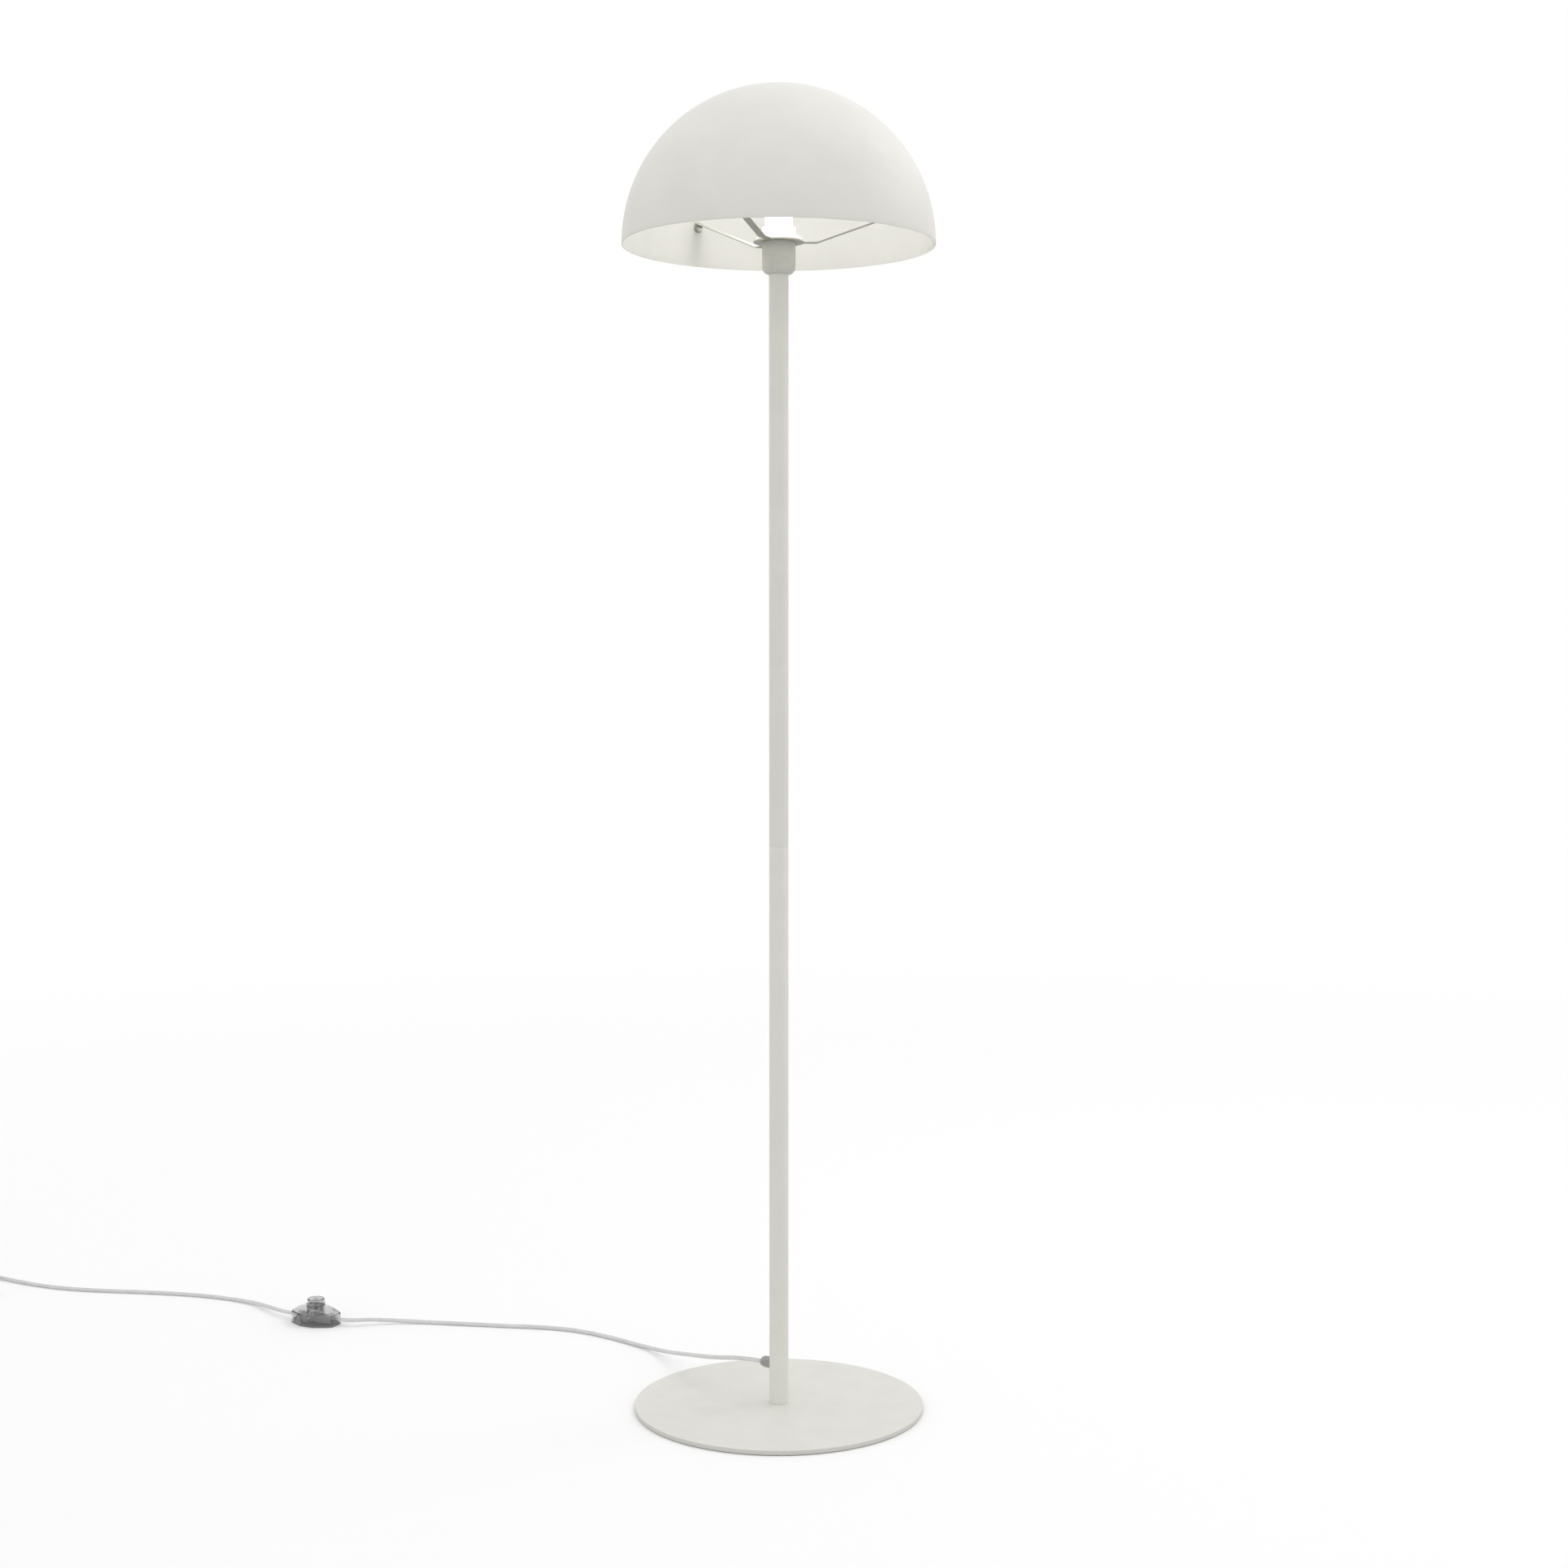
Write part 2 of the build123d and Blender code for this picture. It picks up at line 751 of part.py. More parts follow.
def switch_rotor():
    """Ratchet drum with four grooves that lift the contact leaves."""
    low = switch_seam_height + block_pocket_floor + loose_gap
    drum = tube(rotor_radius, plunger_radius + sliding_gap, low, low + rotor_height)
    width = 2 * rotor_groove
    groove = block(width, width, low, low + contact_height + overrun, x=rotor_radius)
    for i in range(4):
        drum -= Rot(0, 0, 45 + 90 * i) * groove
    return drum


def spring_seat():
    high = switch_block_top + seat_thickness
    return tube(seat_radius, plunger_radius + sliding_gap, switch_block_top, high)


def switch_spring():
    """Compression spring of round turns, each made of four rising quarter arcs."""
    low = switch_block_top + seat_thickness + spring_wire_radius
    high = button_top_height - button_top_thickness - spring_wire_radius
    steps = 4 * spring_turns
    rise = (high - low) / steps
    with BuildPart() as spring:
        with BuildLine() as path:
            for i in range(steps):
                points = []
                for part in (0, 0.5, 1):
                    angle = math.radians(90 * (i + part))
                    points.append((spring_radius * math.cos(angle), spring_radius * math.sin(angle),
                                   low + rise * (i + part)))
                ThreePointArc(*points)
        wire = path.wires()[0]
        with BuildSketch(Plane(origin=wire @ 0, z_dir=wire % 0)):
            RegularPolygon(spring_wire_radius, 4)
        sweep(path=wire)
    return spring.part


def switch_contacts():
    low = switch_seam_height + block_pocket_floor
    inner = rotor_radius + contact_gap
    outer = block_pocket_length / 2
    leaf = block(outer - inner, contact_thickness, low, low + contact_height, x=(inner + outer) / 2)
    post_middle = outer - contact_post_length / 2
    post_top = switch_cord_height + conductor_radius
    post = block(contact_post_length, contact_post_width, low, post_top, x=post_middle)
    return Compound(children=[Rot(0, 0, turn) * (leaf + post) for turn in (0, 180)])


def switch_wires():
    start = block_pocket_length / 2
    wires = []
    for turn in (0, 180):
        for side in (-1, 1):
            wire = Pos(0, side * conductor_offset, switch_cord_height) * Rot(0, 90, 0)
            wires.append(Rot(0, 0, turn) * (wire * disc(conductor_radius, start, jacket_end)))
    return Compound(children=wires)


def switch_clamps():
    clamps = []
    width = 2 * cord_radius
    low = switch_cord_height + cord_radius + screwed_gap
    for side in (-1, 1):
        x = side * clamp_distance
        tongue = block(clamp_length, width, low, switch_block_top, x=x)
        bridge = block(clamp_length, block_width, switch_block_top, switch_block_top + clamp_thickness, x=x)
        clamps.append(tongue + bridge)
    return Compound(children=clamps)


def switch_screws():
    head_high = switch_seam_height / 2
    screw = disc(switch_screw_head_radius, switch_screw_recess, head_high)
    screw += disc(switch_screw_radius - screwed_gap, head_high, switch_screw_length)
    return Compound(children=[Pos(0, side * switch_screw_offset, 0) * screw for side in (-1, 1)])


# Cord

def swept_cord(path, radius, sides=8):
    """Cord along a path, with a many-sided section that keeps its mesh light."""
    wire = path.wires()[0]
    with BuildPart() as cord:
        with BuildSketch(Plane(origin=wire @ 0, z_dir=wire % 0)):
            RegularPolygon(radius, sides)
        sweep(path=wire)
    area = sides / 2 * radius ** 2 * math.sin(2 * math.pi / sides)
    ratio = cord.part.volume / (area * wire.length)
    print(f"  length {wire.length:.1f} mm, volume over section times length {ratio:.4f}")
    return cord.part


def routed_cord(name, points, radius, radii=None):
    """Cord along straight runs joined by the largest tangent arcs that the runs allow."""
    spots = [Vector(*p) for p in points]
    if radii is None:
        radii = []
        for a, b, c in zip(spots, spots[1:], spots[2:]):
            run = min((b - a).length, (c - b).length)
            turn = math.radians((b - a).get_angle(c - b))
            radii.append(0.45 * run / math.tan(turn / 2))
    print(name, "radii", [round(r) for r in radii], "least over diameter", round(min(radii) / 2 / radius, 1))
    with BuildLine() as path:
        FilletPolyline(*points, radius=radii)
    return swept_cord(path.line, radius)


def pole_lead():
    """Lead inside the lamp: in through the outlet, up the pole and into the lampholder."""
    corner = outlet_point(-7.4)
    points = [
        outlet_point(outlet_face), corner,
        (corner[0], corner[1], outlet_z + 40), (0, 0, outlet_z + 95), (0, 0, lead_top),
    ]
    return routed_cord("pole_lead", points, cord_radius, [12, 200, 200])


def holder_wires():
    """Two conductors from the end of the lead to the terminal screws."""
    high = block_top - terminal_block_height - terminal_screw_head_height
    wires = []
    for side in (-1, 1):
        x = side * conductor_offset
        end = side * terminal_spacing / 2
        points = [(x, 0, lead_top), (x, 0, lead_top + wire_run), (end, 0, high - wire_run), (end, 0, high)]
        with BuildLine() as path:
            FilletPolyline(*points, radius=wire_bend_radius)
        wire = path.line.wires()[0]
        with BuildPart() as conductor:
            with BuildSketch(Plane(origin=wire @ 0, z_dir=wire % 0)):
                RegularPolygon(conductor_radius, 6)
            sweep(path=wire)
        wires.append(conductor.part)
    return Compound(children=wires)


def cord_lamp_side():
    """From the pole, down over the base plate's edge and along the floor to the switch."""
    points = [
        outlet_point(outlet_face), outlet_point(54),
        (-82, 66, 46), (-106, 107, 35.5), (-128, 152, 24.5), (-150, 198, 13), (-172, 238, 5.2),
        (-202, 270, cord_z), (-242, 306.5, cord_z), (-288, 339, cord_z), (-340, 356, cord_z),
        (-398, 364, cord_z), (-458, 374, cord_z), (-516, 384, cord_z),
        (-562, 387, 4.6), (-600, 378.5, 8.6),
        switch_point(-52), switch_point(-jacket_end),
    ]
    return routed_cord("cord_lamp_side", points, cord_radius)


def coil_start(back=0.0):
    """Point where the coil's solid starts, or this far before it on the cord's heading."""
    angle = math.radians(coil_heading)
    return (coil_x - back * math.cos(angle), coil_y - back * math.sin(angle), coil_z)


def cord_wall_side():
    """From the switch, along the floor and out of the picture to the coil."""
    points = [
        switch_point(jacket_end), switch_point(52),
        (-757, 445, 8), (-786, 482, 4), (-825, 508, cord_z), (-875, 528.5, cord_z),
        (-935, 543.5, cord_z), (-995, 552.5, cord_z), (-1055, 560, cord_z), (-1110, 573.5, cord_z),
        (-1163, 597, cord_z), coil_start(38), coil_start(),
    ]
    return routed_cord("cord_wall_side", points, cord_radius)


def coil_path():
    """Half turns: in on the floor, up a layer where the spiral reverses, and out on top."""
    step = layer_step / 2
    radii = [coil_outer_radius, coil_outer_radius - step, coil_outer_radius - 2 * step,
             coil_outer_radius - step, coil_outer_radius]
    climbing = 2
    heading = Vector(math.cos(math.radians(coil_heading)), math.sin(math.radians(coil_heading)))
    here = Vector(*coil_start(-coil_lead))
    arcs = []
    for i, radius in enumerate(radii):
        inward = Vector(-heading.Y, heading.X)
        end = here + inward * 2 * radius
        if i == climbing:
            end += Vector(0, 0, layer_step)
        middle = (here + end) * 0.5 + heading * (end - here).length / 2
        arcs.append((here, middle, end))
        here, heading = end, heading * -1
    return arcs, here, heading


def tail_points():
    """Gentle fall from the coil's upper layer to the height of the plug."""
    arcs, start, heading = coil_path()
    drop = start.Z - plug_z
    turn = math.acos(1 - drop / 2 / tail_bend_radius)
    half = tail_bend_radius * math.sin(turn)
    bent = start + heading * tail_straight
    quarter = turn / 2
    low_run = tail_bend_radius * math.sin(quarter)
    low_drop = tail_bend_radius * (1 - math.cos(quarter))
    first = bent + heading * low_run - Vector(0, 0, low_drop)
    crossing = bent + heading * half - Vector(0, 0, drop / 2)
    last = crossing + heading * (half - low_run) - Vector(0, 0, drop / 2 - low_drop)
    flat = bent + heading * 2 * half - Vector(0, 0, drop)
    end = flat + heading * tail_straight
    return start, bent, first, crossing, last, flat, end


def cord_coil():
    arcs = coil_path()[0]
    start, bent, first, crossing, last, flat, end = tail_points()
    with BuildLine() as path:
        Line(coil_start(), arcs[0][0])
        for arc in arcs:
            ThreePointArc(*arc)
        Line(start, bent)
        ThreePointArc(bent, first, crossing)
        ThreePointArc(crossing, last, flat)
        Line(flat, end)
    print("cord_coil least gap to itself", round(least_gap(path.line.wires()[0]), 2), "mm")
    return swept_cord(path.line, cord_radius)


def least_gap(wire):
    """Least gap between stretches of the coil that lie over a quarter turn apart."""
    count = 500
    spots = [wire @ (i / count) for i in range(count + 1)]
    apart = int(count * (coil_outer_radius * math.pi / 2) / wire.length)
    least = min((spots[i] - spots[j]).length for i in range(count) for j in range(i + apart, count + 1))
    return least - 2 * cord_radius


def coil_tie():
    """Band round the two stacked turns, on the side where the cord comes in."""
    arcs, _, heading = coil_path()
    under, over = arcs[1][1], arcs[3][1]
    half_width = cord_radius + tie_slack + abs((over - under).dot(heading)) / 2
    centre = (under + over) * 0.5
    low = coil_z - cord_radius - floor_gap
    high = over.Z + cord_radius + floor_gap
    band = block(2 * (half_width + tie_thickness), tie_width, low - tie_thickness, high + tie_thickness)
    band -= block(2 * half_width, tie_width, low, high)
    return Pos(centre.X, centre.Y, 0) * Rot(0, 0, coil_heading) * band


# Plug, made with its cord entry at the origin and its pins along +X

def on_plug(shape):
    end = tail_points()[-1]
    return Pos(end.X, end.Y, plug_z) * Rot(0, 0, coil_heading + 180) * shape


def plug_body():
    root = plug_relief_length + plug_relief_root
    relief = Rot(0, 90, 0) * turned([
        (0, 0), (cord_radius + plug_relief_lip, 0), (plug_relief_radius, plug_relief_length),
        (plug_relief_radius, root), (0, root),
    ])
    rear = plug_relief_length
    shoulder = rear + plug_shoulder
    front = rear + plug_body_length
    outline = [
        (rear, plug_rear_width / 2), (shoulder, plug_width / 2), (front, plug_width / 2),
        (front, -plug_width / 2), (shoulder, -plug_width / 2), (rear, -plug_rear_width / 2),
    ]
    with BuildPart() as body:
        with BuildSketch(Plane.XY.offset(-plug_thickness / 2)):
            with BuildLine():
                Polyline(*outline, close=True)
            make_face()
        extrude(amount=plug_thickness)
        flat_edges = body.edges().group_by(Axis.Z)
        chamfer(flat_edges[0] + flat_edges[-1], plug_edge_chamfer)
    plug = relief + body.part
    for side in (-1, 1):
        bore = disc(pin_seat_radius, 0, pin_seat)
        plug -= Pos(front - pin_seat, side * pin_spacing / 2, 0) * Rot(0, 90, 0) * bore
    return plug


def plug_pins():
    front = plug_relief_length + plug_body_length
    pin = turned([
        (0, 0), (pin_seat_radius, 0), (pin_seat_radius, pin_seat), (pin_radius, pin_seat),
        (pin_radius, pin_seat + pin_length - pin_tip_length),
        (pin_tip_radius, pin_seat + pin_length), (0, pin_seat + pin_length),
    ])
    pins = [Pos(front - pin_seat, side * pin_spacing / 2, 0) * Rot(0, 90, 0) * pin for side in (-1, 1)]
    return Compound(children=pins)


stand_parts = {
    "base_plate": base_plate,
    "base_pads": base_pads,
    "base_screw": base_screw,
    "foot_insert": foot_insert,
    "pole_lower": pole_lower,
    "pole_upper": pole_upper,
    "joint_socket": joint_socket,
    "joint_stud": joint_stud,
    "top_insert": top_insert,
    "cord_outlet": cord_outlet,
    "outlet_nut": outlet_nut,
    "pole_lead": pole_lead,
}

head_parts = {
    "holder_cup": holder_cup,
    "threaded_nipple": threaded_nipple,
    "nipple_nut": nipple_nut,
    "lampholder_cap": lampholder_cap,
    "lampholder_body": lampholder_body,
    "terminal_block": terminal_block,
    "terminal_screws": terminal_screws,
    "holder_wires": holder_wires,
    "screw_shell": screw_shell,
    "centre_contact": centre_contact,
    "shade_ring": shade_ring,
    "shade_carrier": shade_carrier,
    "shade": shade,
    "shade_studs": shade_studs,
    "shade_nuts": shade_nuts,
    "bulb_glass": bulb_glass,
    "bulb_cap": bulb_cap,
    "bulb_contact": bulb_contact,
}

switch_parts = {
    "switch_base": switch_base,
    "switch_cover": switch_cover,
    "switch_button": switch_button,
    "switch_block": switch_block,
    "switch_rotor": switch_rotor,
    "spring_seat": spring_seat,
    "switch_spring": switch_spring,
    "switch_contacts": switch_contacts,
    "switch_wires": switch_wires,
    "switch_clamps": switch_clamps,
    "switch_screws": switch_screws,
}

cord_parts = {
    "cord_lamp_side": cord_lamp_side,
    "cord_wall_side": cord_wall_side,
    "cord_coil": cord_coil,
    "coil_tie": coil_tie,
}

plug_parts = {
    "plug_body": plug_body,
    "plug_pins": plug_pins,
}

for node, make in {**stand_parts, **head_parts, **cord_parts}.items():
    save(node, make())
for node, make in switch_parts.items():
    save(node, on_switch(make()))
for node, make in plug_parts.items():
    save(node, on_plug(make()))
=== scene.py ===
import math

import bmesh
import bpy
from mathutils import Matrix, Vector


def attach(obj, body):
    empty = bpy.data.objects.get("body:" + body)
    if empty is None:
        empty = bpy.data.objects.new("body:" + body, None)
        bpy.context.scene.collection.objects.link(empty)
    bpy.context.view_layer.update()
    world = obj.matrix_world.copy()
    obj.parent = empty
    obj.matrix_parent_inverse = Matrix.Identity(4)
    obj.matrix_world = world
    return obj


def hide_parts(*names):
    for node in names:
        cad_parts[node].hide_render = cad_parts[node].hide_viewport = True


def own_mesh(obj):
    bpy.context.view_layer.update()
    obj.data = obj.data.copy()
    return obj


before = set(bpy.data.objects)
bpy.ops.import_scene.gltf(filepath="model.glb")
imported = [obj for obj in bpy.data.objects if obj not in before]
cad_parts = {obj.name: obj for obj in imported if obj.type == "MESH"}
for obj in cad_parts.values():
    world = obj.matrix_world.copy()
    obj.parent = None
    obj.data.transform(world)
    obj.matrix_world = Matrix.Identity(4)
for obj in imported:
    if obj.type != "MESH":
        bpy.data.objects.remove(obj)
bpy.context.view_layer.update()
mm = 0.001
print("frame loaded:", len(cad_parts), "nodes")


def addObject(name, data):
    made = bpy.data.objects.new(name, data)
    bpy.context.scene.collection.objects.link(made)
    return made


# Camera, half a degree beside the photograph's, which keeps the plug's pins out of the picture

cameraSettings = {
    "place": (-0.01934, -3.0367, 0.9935),
    "pitchDown": 3.306,  # degrees
    "turnRight": 0.4906,
    "lens": 54.09,
    "sensor": 36.0,
}


def addCamera(s):
    data = bpy.data.cameras.new("camera")
    data.lens = s["lens"]
    data.sensor_width = s["sensor"]
    data.clip_end = 100.0
    camera = addObject("camera", data)
    camera.location = s["place"]
    camera.rotation_euler = (math.radians(90 - s["pitchDown"]), 0, math.radians(-s["turnRight"]))
    bpy.context.scene.camera = camera


addCamera(cameraSettings)
bpy.context.scene.view_settings.view_transform = "Standard"


# Materials

def toLinear(hexColor, alpha=1.0):
    channels = [int(hexColor[i:i + 2], 16) / 255 for i in (1, 3, 5)]
    linear = [c / 12.92 if c <= 0.04045 else ((c + 0.055) / 1.055) ** 2.4 for c in channels]
    return (*linear, alpha)


def addNode(tree, kind, settings=None, links=None):
    node = tree.nodes.new(kind)
    for key, value in (settings or {}).items():
        if isinstance(key, int) or key in node.inputs:
            node.inputs[key].default_value = value
        else:
            setattr(node, key, value)
    for key, socket in (links or {}).items():
        tree.links.new(socket, node.inputs[key])
    return node


# the base colour runs from one stop (place, colour) to another
def mixColors(tree, share, low, high, bsdf):
    ramp = addNode(tree, "ShaderNodeValToRGB", links={"Fac": share})
    for stop, (place, color) in zip(ramp.color_ramp.elements, (low, high)):
        stop.position = place
        stop.color = toLinear(color)
    tree.links.new(ramp.outputs["Color"], bsdf.inputs["Base Color"])


# patches: a second colour in soft patches of this size in mm
# grain: size and depth in mm of the fine relief
# wear: how much the roughness changes over the patches
# foot: a deeper tint towards the floor, fading out between two heights in mm
def makeMaterial(name, color, shader, patches=None, grain=None, wear=None, foot=None):
    material = bpy.data.materials.new(name)
    material.use_nodes = True
    tree = material.node_tree
    tree.nodes.clear()
    bsdf = addNode(tree, "ShaderNodeBsdfPrincipled", {"Base Color": toLinear(color), **shader})
    addNode(tree, "ShaderNodeOutputMaterial", links={"Surface": bsdf.outputs["BSDF"]})
    coords = addNode(tree, "ShaderNodeTexCoord")
    if patches:
        noise = addNode(
            tree, "ShaderNodeTexNoise",
            {"Scale": 1 / (patches["size"] * mm), "Detail": 4.0, "Roughness": 0.6},
            {"Vector": coords.outputs["Object"]},
        )
        mixColors(tree, noise.outputs["Fac"], (0.38, color), (0.66, patches["color"]), bsdf)
        if wear:
            smoothest, roughest = shader["Roughness"] - wear, shader["Roughness"] + wear
            rough = addNode(
                tree, "ShaderNodeMapRange",
                {"From Min": 0.3, "From Max": 0.7, "To Min": smoothest, "To Max": roughest},
                {"Value": noise.outputs["Fac"]},
            )
            tree.links.new(rough.outputs["Result"], bsdf.inputs["Roughness"])
    if foot:
        height = addNode(tree, "ShaderNodeSeparateXYZ", links={"Vector": coords.outputs["Object"]})
        share = addNode(
            tree, "ShaderNodeMapRange", {"From Min": foot["low"] * mm, "From Max": foot["high"] * mm},
            {"Value": height.outputs["Z"]},
        )
        mixColors(tree, share.outputs["Result"], (0.0, foot["color"]), (1.0, color), bsdf)
    if grain:
        relief = addNode(
            tree, "ShaderNodeTexNoise", {"Scale": 1 / (grain["size"] * mm), "Detail": 2.0},
            {"Vector": coords.outputs["Object"]},
        )
        bump = addNode(
            tree, "ShaderNodeBump", {"Strength": 1.0, "Distance": grain["depth"] * mm},
            {"Height": relief.outputs["Fac"]},
        )
        tree.links.new(bump.outputs["Normal"], bsdf.inputs["Normal"])
    return material


# powder-coated steel: an even warm white with a satin sheen; its peel of 0.3 mm is drawn at 1.5 mm to show
shadeCoat = makeMaterial(
    "powderCoatShade", "#e9e8e3", {"Roughness": 0.55, "IOR": 1.5, "Specular IOR Level": 0.3},
    patches={"size": 60, "color": "#e6e5e0"}, grain={"size": 1.5, "depth": 0.02}, wear=0.05,
)
# the same coat on the thicker stand, a little greyer where it is handled
standCoat = makeMaterial(
    "powderCoatStand", "#e4e3dd", {"Roughness": 0.5, "IOR": 1.5, "Specular IOR Level": 0.3},
    patches={"size": 45, "color": "#e1e0da"}, grain={"size": 1.5, "depth": 0.02}, wear=0.05,
)
# the base plate's coat: the same coat made darker, as painted shade for the light the plate gets less of
baseCoatPaintedShade = makeMaterial(
    "powderCoatBasePaintedShade", "#d9d8d2", {"Roughness": 0.45, "IOR": 1.5, "Specular IOR Level": 0.25},
    patches={"size": 45, "color": "#d6d5cf"}, grain={"size": 1.5, "depth": 0.02}, wear=0.05,
)
# the cup's coat: the same again, greyer, as painted shade under the dome
cupCoatPaintedShade = makeMaterial(
    "powderCoatCupPaintedShade", "#d5d4ce", {"Roughness": 0.5, "IOR": 1.5, "Specular IOR Level": 0.25},
    patches={"size": 12, "color": "#cfcec7"}, grain={"size": 1.5, "depth": 0.02}, wear=0.05,
)
# the shade carrier's tabs are grey, and its underside gets the same grey as painted shade under the white
# coat
tabGreyAndPaintedShade = makeMaterial(
    "carrierTabGreyAndPaintedShade", "#a9a8a1", {"Roughness": 0.5, "IOR": 1.5, "Specular IOR Level": 0.3},
    patches={"size": 20, "color": "#a4a39c"}, grain={"size": 1.5, "depth": 0.02},
)
# moulded silicone pads: matt, slightly grey
padRubber = makeMaterial(
    "siliconePad", "#c4c3bf", {"Roughness": 0.85, "IOR": 1.41},
    patches={"size": 6, "color": "#bbbab6"}, grain={"size": 0.8, "depth": 0.03},
)
# zinc-plated turned steel: bright but soft, with faint turning marks
zincSteel = makeMaterial(
    "zincPlatedSteel", "#c2c1bc", {"Roughness": 0.3, "Metallic": 1.0},
    patches={"size": 4, "color": "#aeada8"}, grain={"size": 0.5, "depth": 0.01}, wear=0.08,
)
# the cap nuts: a paler, duller zinc
satinSteel = makeMaterial(
    "satinZincSteel", "#e3e2dd", {"Roughness": 0.5, "Metallic": 1.0},
    patches={"size": 4, "color": "#d5d4cf"}, grain={"size": 0.5, "depth": 0.01},
)
# nickel-plated brass: warmer and brighter than zinc
nickelPlate = makeMaterial(
    "nickelPlatedBrass", "#cfccc4", {"Roughness": 0.18, "Metallic": 1.0},
    patches={"size": 5, "color": "#c3c0b8"}, wear=0.05,
)
# pressed brass with a thin tarnish
brassStrip = makeMaterial(
    "pressedBrass", "#c9a95f", {"Roughness": 0.28, "Metallic": 1.0},
    patches={"size": 3, "color": "#a98b4a"}, wear=0.1,
)
# moulded thermoset of the lampholder: hard glossy white
holderPlastic = makeMaterial(
    "thermosetPlastic", "#efeeea", {"Roughness": 0.25, "IOR": 1.55},
    patches={"size": 12, "color": "#e9e8e3"}, grain={"size": 0.8, "depth": 0.008}, wear=0.05,
)
# the same plastic in the shade ring, with a painted glow: an even emission all over that stands in for the
# bulb's light on it
ringPlasticPaintedGlow = makeMaterial(
    "thermoplasticRingPaintedGlow", "#f6f5f1", {
        "Roughness": 0.3, "IOR": 1.5, "Emission Color": toLinear("#fffefa"), "Emission Strength": 0.35,
    },
    patches={"size": 12, "color": "#f0efea"}, grain={"size": 0.8, "depth": 0.008}, wear=0.05,
)
# glazed steatite: cream, a little glassy
steatite = makeMaterial(
    "glazedSteatite", "#e8e2d2", {"Roughness": 0.3, "IOR": 1.6},
    patches={"size": 3, "color": "#ddd5c2"}, grain={"size": 0.4, "depth": 0.02},
)
# bulb glass frosted on the inside: an even white glow
frostedGlass = makeMaterial(
    "frostedGlass", "#f7f7f4", {
        "Roughness": 0.35, "IOR": 1.5, "Emission Color": toLinear("#fcfcff"), "Emission Strength": 10.0,
    },
    grain={"size": 0.6, "depth": 0.01},
)
# clear plasticised PVC over pale cores: translucent grey-white with a soft gloss
cordPvc = makeMaterial(
    "clearPvcCord", "#ebebeb", {"Roughness": 0.22, "IOR": 1.53, "Transmission Weight": 0.5},
    patches={"size": 9, "color": "#e3e3e3"}, grain={"size": 1.2, "depth": 0.01},
)
# white insulated cores
corePvc = makeMaterial(
    "coreInsulation", "#e2e1de", {"Roughness": 0.4, "IOR": 1.53}, patches={"size": 5, "color": "#d6d5d2"},
)
# injection-moulded smoke-tinted polycarbonate: see-through grey with dark edges
smokyClear = makeMaterial(
    "smokePolycarbonate", "#e6e6e6", {"Roughness": 0.07, "IOR": 1.5, "Transmission Weight": 1.0},
    grain={"size": 6.0, "depth": 0.01}, foot={"color": "#dedede", "low": 12.0, "high": 18.0},
)
# the button, a little duller than the cover
smokyButton = makeMaterial(
    "smokePolycarbonateButton", "#dedede", {"Roughness": 0.12, "IOR": 1.5, "Transmission Weight": 1.0},
    grain={"size": 6.0, "depth": 0.01},
)
# the tray under it is darker and nearly closed to the light
smokyTray = makeMaterial(
    "smokePolycarbonateTray", "#8c8c8c", {"Roughness": 0.25, "IOR": 1.5, "Transmission Weight": 0.3},
    grain={"size": 6.0, "depth": 0.01},
)
smokyInsert = makeMaterial(
    "smokePolycarbonateInsert", "#ececec", {"Roughness": 0.3, "IOR": 1.5, "Transmission Weight": 0.2},
    grain={"size": 2.0, "depth": 0.02},
)
# turned nylon: milky white
nylon = makeMaterial(
    "mouldedNylon", "#e6e4dc", {"Roughness": 0.45, "IOR": 1.53}, patches={"size": 2, "color": "#dcdad1"},
)
# moulded nylon gland: grey and slightly see-through
glandNylon = makeMaterial(
    "greyNylonGland", "#b4b4b2", {"Roughness": 0.3, "IOR": 1.53, "Transmission Weight": 0.3},
    patches={"size": 4, "color": "#a6a6a4"}, grain={"size": 1.5, "depth": 0.01},
)
# soft PVC strip of the tie and the moulded plug
tiePvc = makeMaterial(
    "softPvcTie", "#e4e4e2", {"Roughness": 0.4, "IOR": 1.53}, patches={"size": 3, "color": "#d9d9d7"},
)
plugPvc = makeMaterial(
    "mouldedPvcPlug", "#dededc", {"Roughness": 0.35, "IOR": 1.53},
    patches={"size": 8, "color": "#d5d5d3"}, grain={"size": 1.0, "depth": 0.015}, wear=0.05,
)
print("materials made")


# Mesh helpers

roundSteps = 96  # faces round a turned piece
smallSteps = 32


def meshFrom(name, bm):
    mesh = bpy.data.meshes.new(name)
    bm.to_mesh(mesh)
    bm.free()
    return mesh


# an outline whose corners (x, y, radius) are rounded with arcs
def softened(corners, steps=5, closed=True):
    points = []
    count = len(corners)
    for i, (x, y, radius) in enumerate(corners):
        here = Vector((x, y))
        isEnd = not closed and i in (0, count - 1)
        if radius <= 0 or isEnd:
            points.append(here)
            continue
        before = (Vector(corners[i - 1][:2]) - here).normalized()
        after = (Vector(corners[(i + 1) % count][:2]) - here).normalized()
        half = before.angle(after) / 2
        centre = here + (before + after).normalized() * radius / math.sin(half)
        first = here + before * radius / math.tan(half) - centre
        last = here + after * radius / math.tan(half) - centre
        start = math.atan2(first.y, first.x)
        turn = (math.atan2(last.y, last.x) - start + math.pi) % (2 * math.pi) - math.pi
        for k in range(steps + 1):
            angle = start + turn * k / steps
            points.append(centre + Vector((math.cos(angle), math.sin(angle))) * radius)
    return points


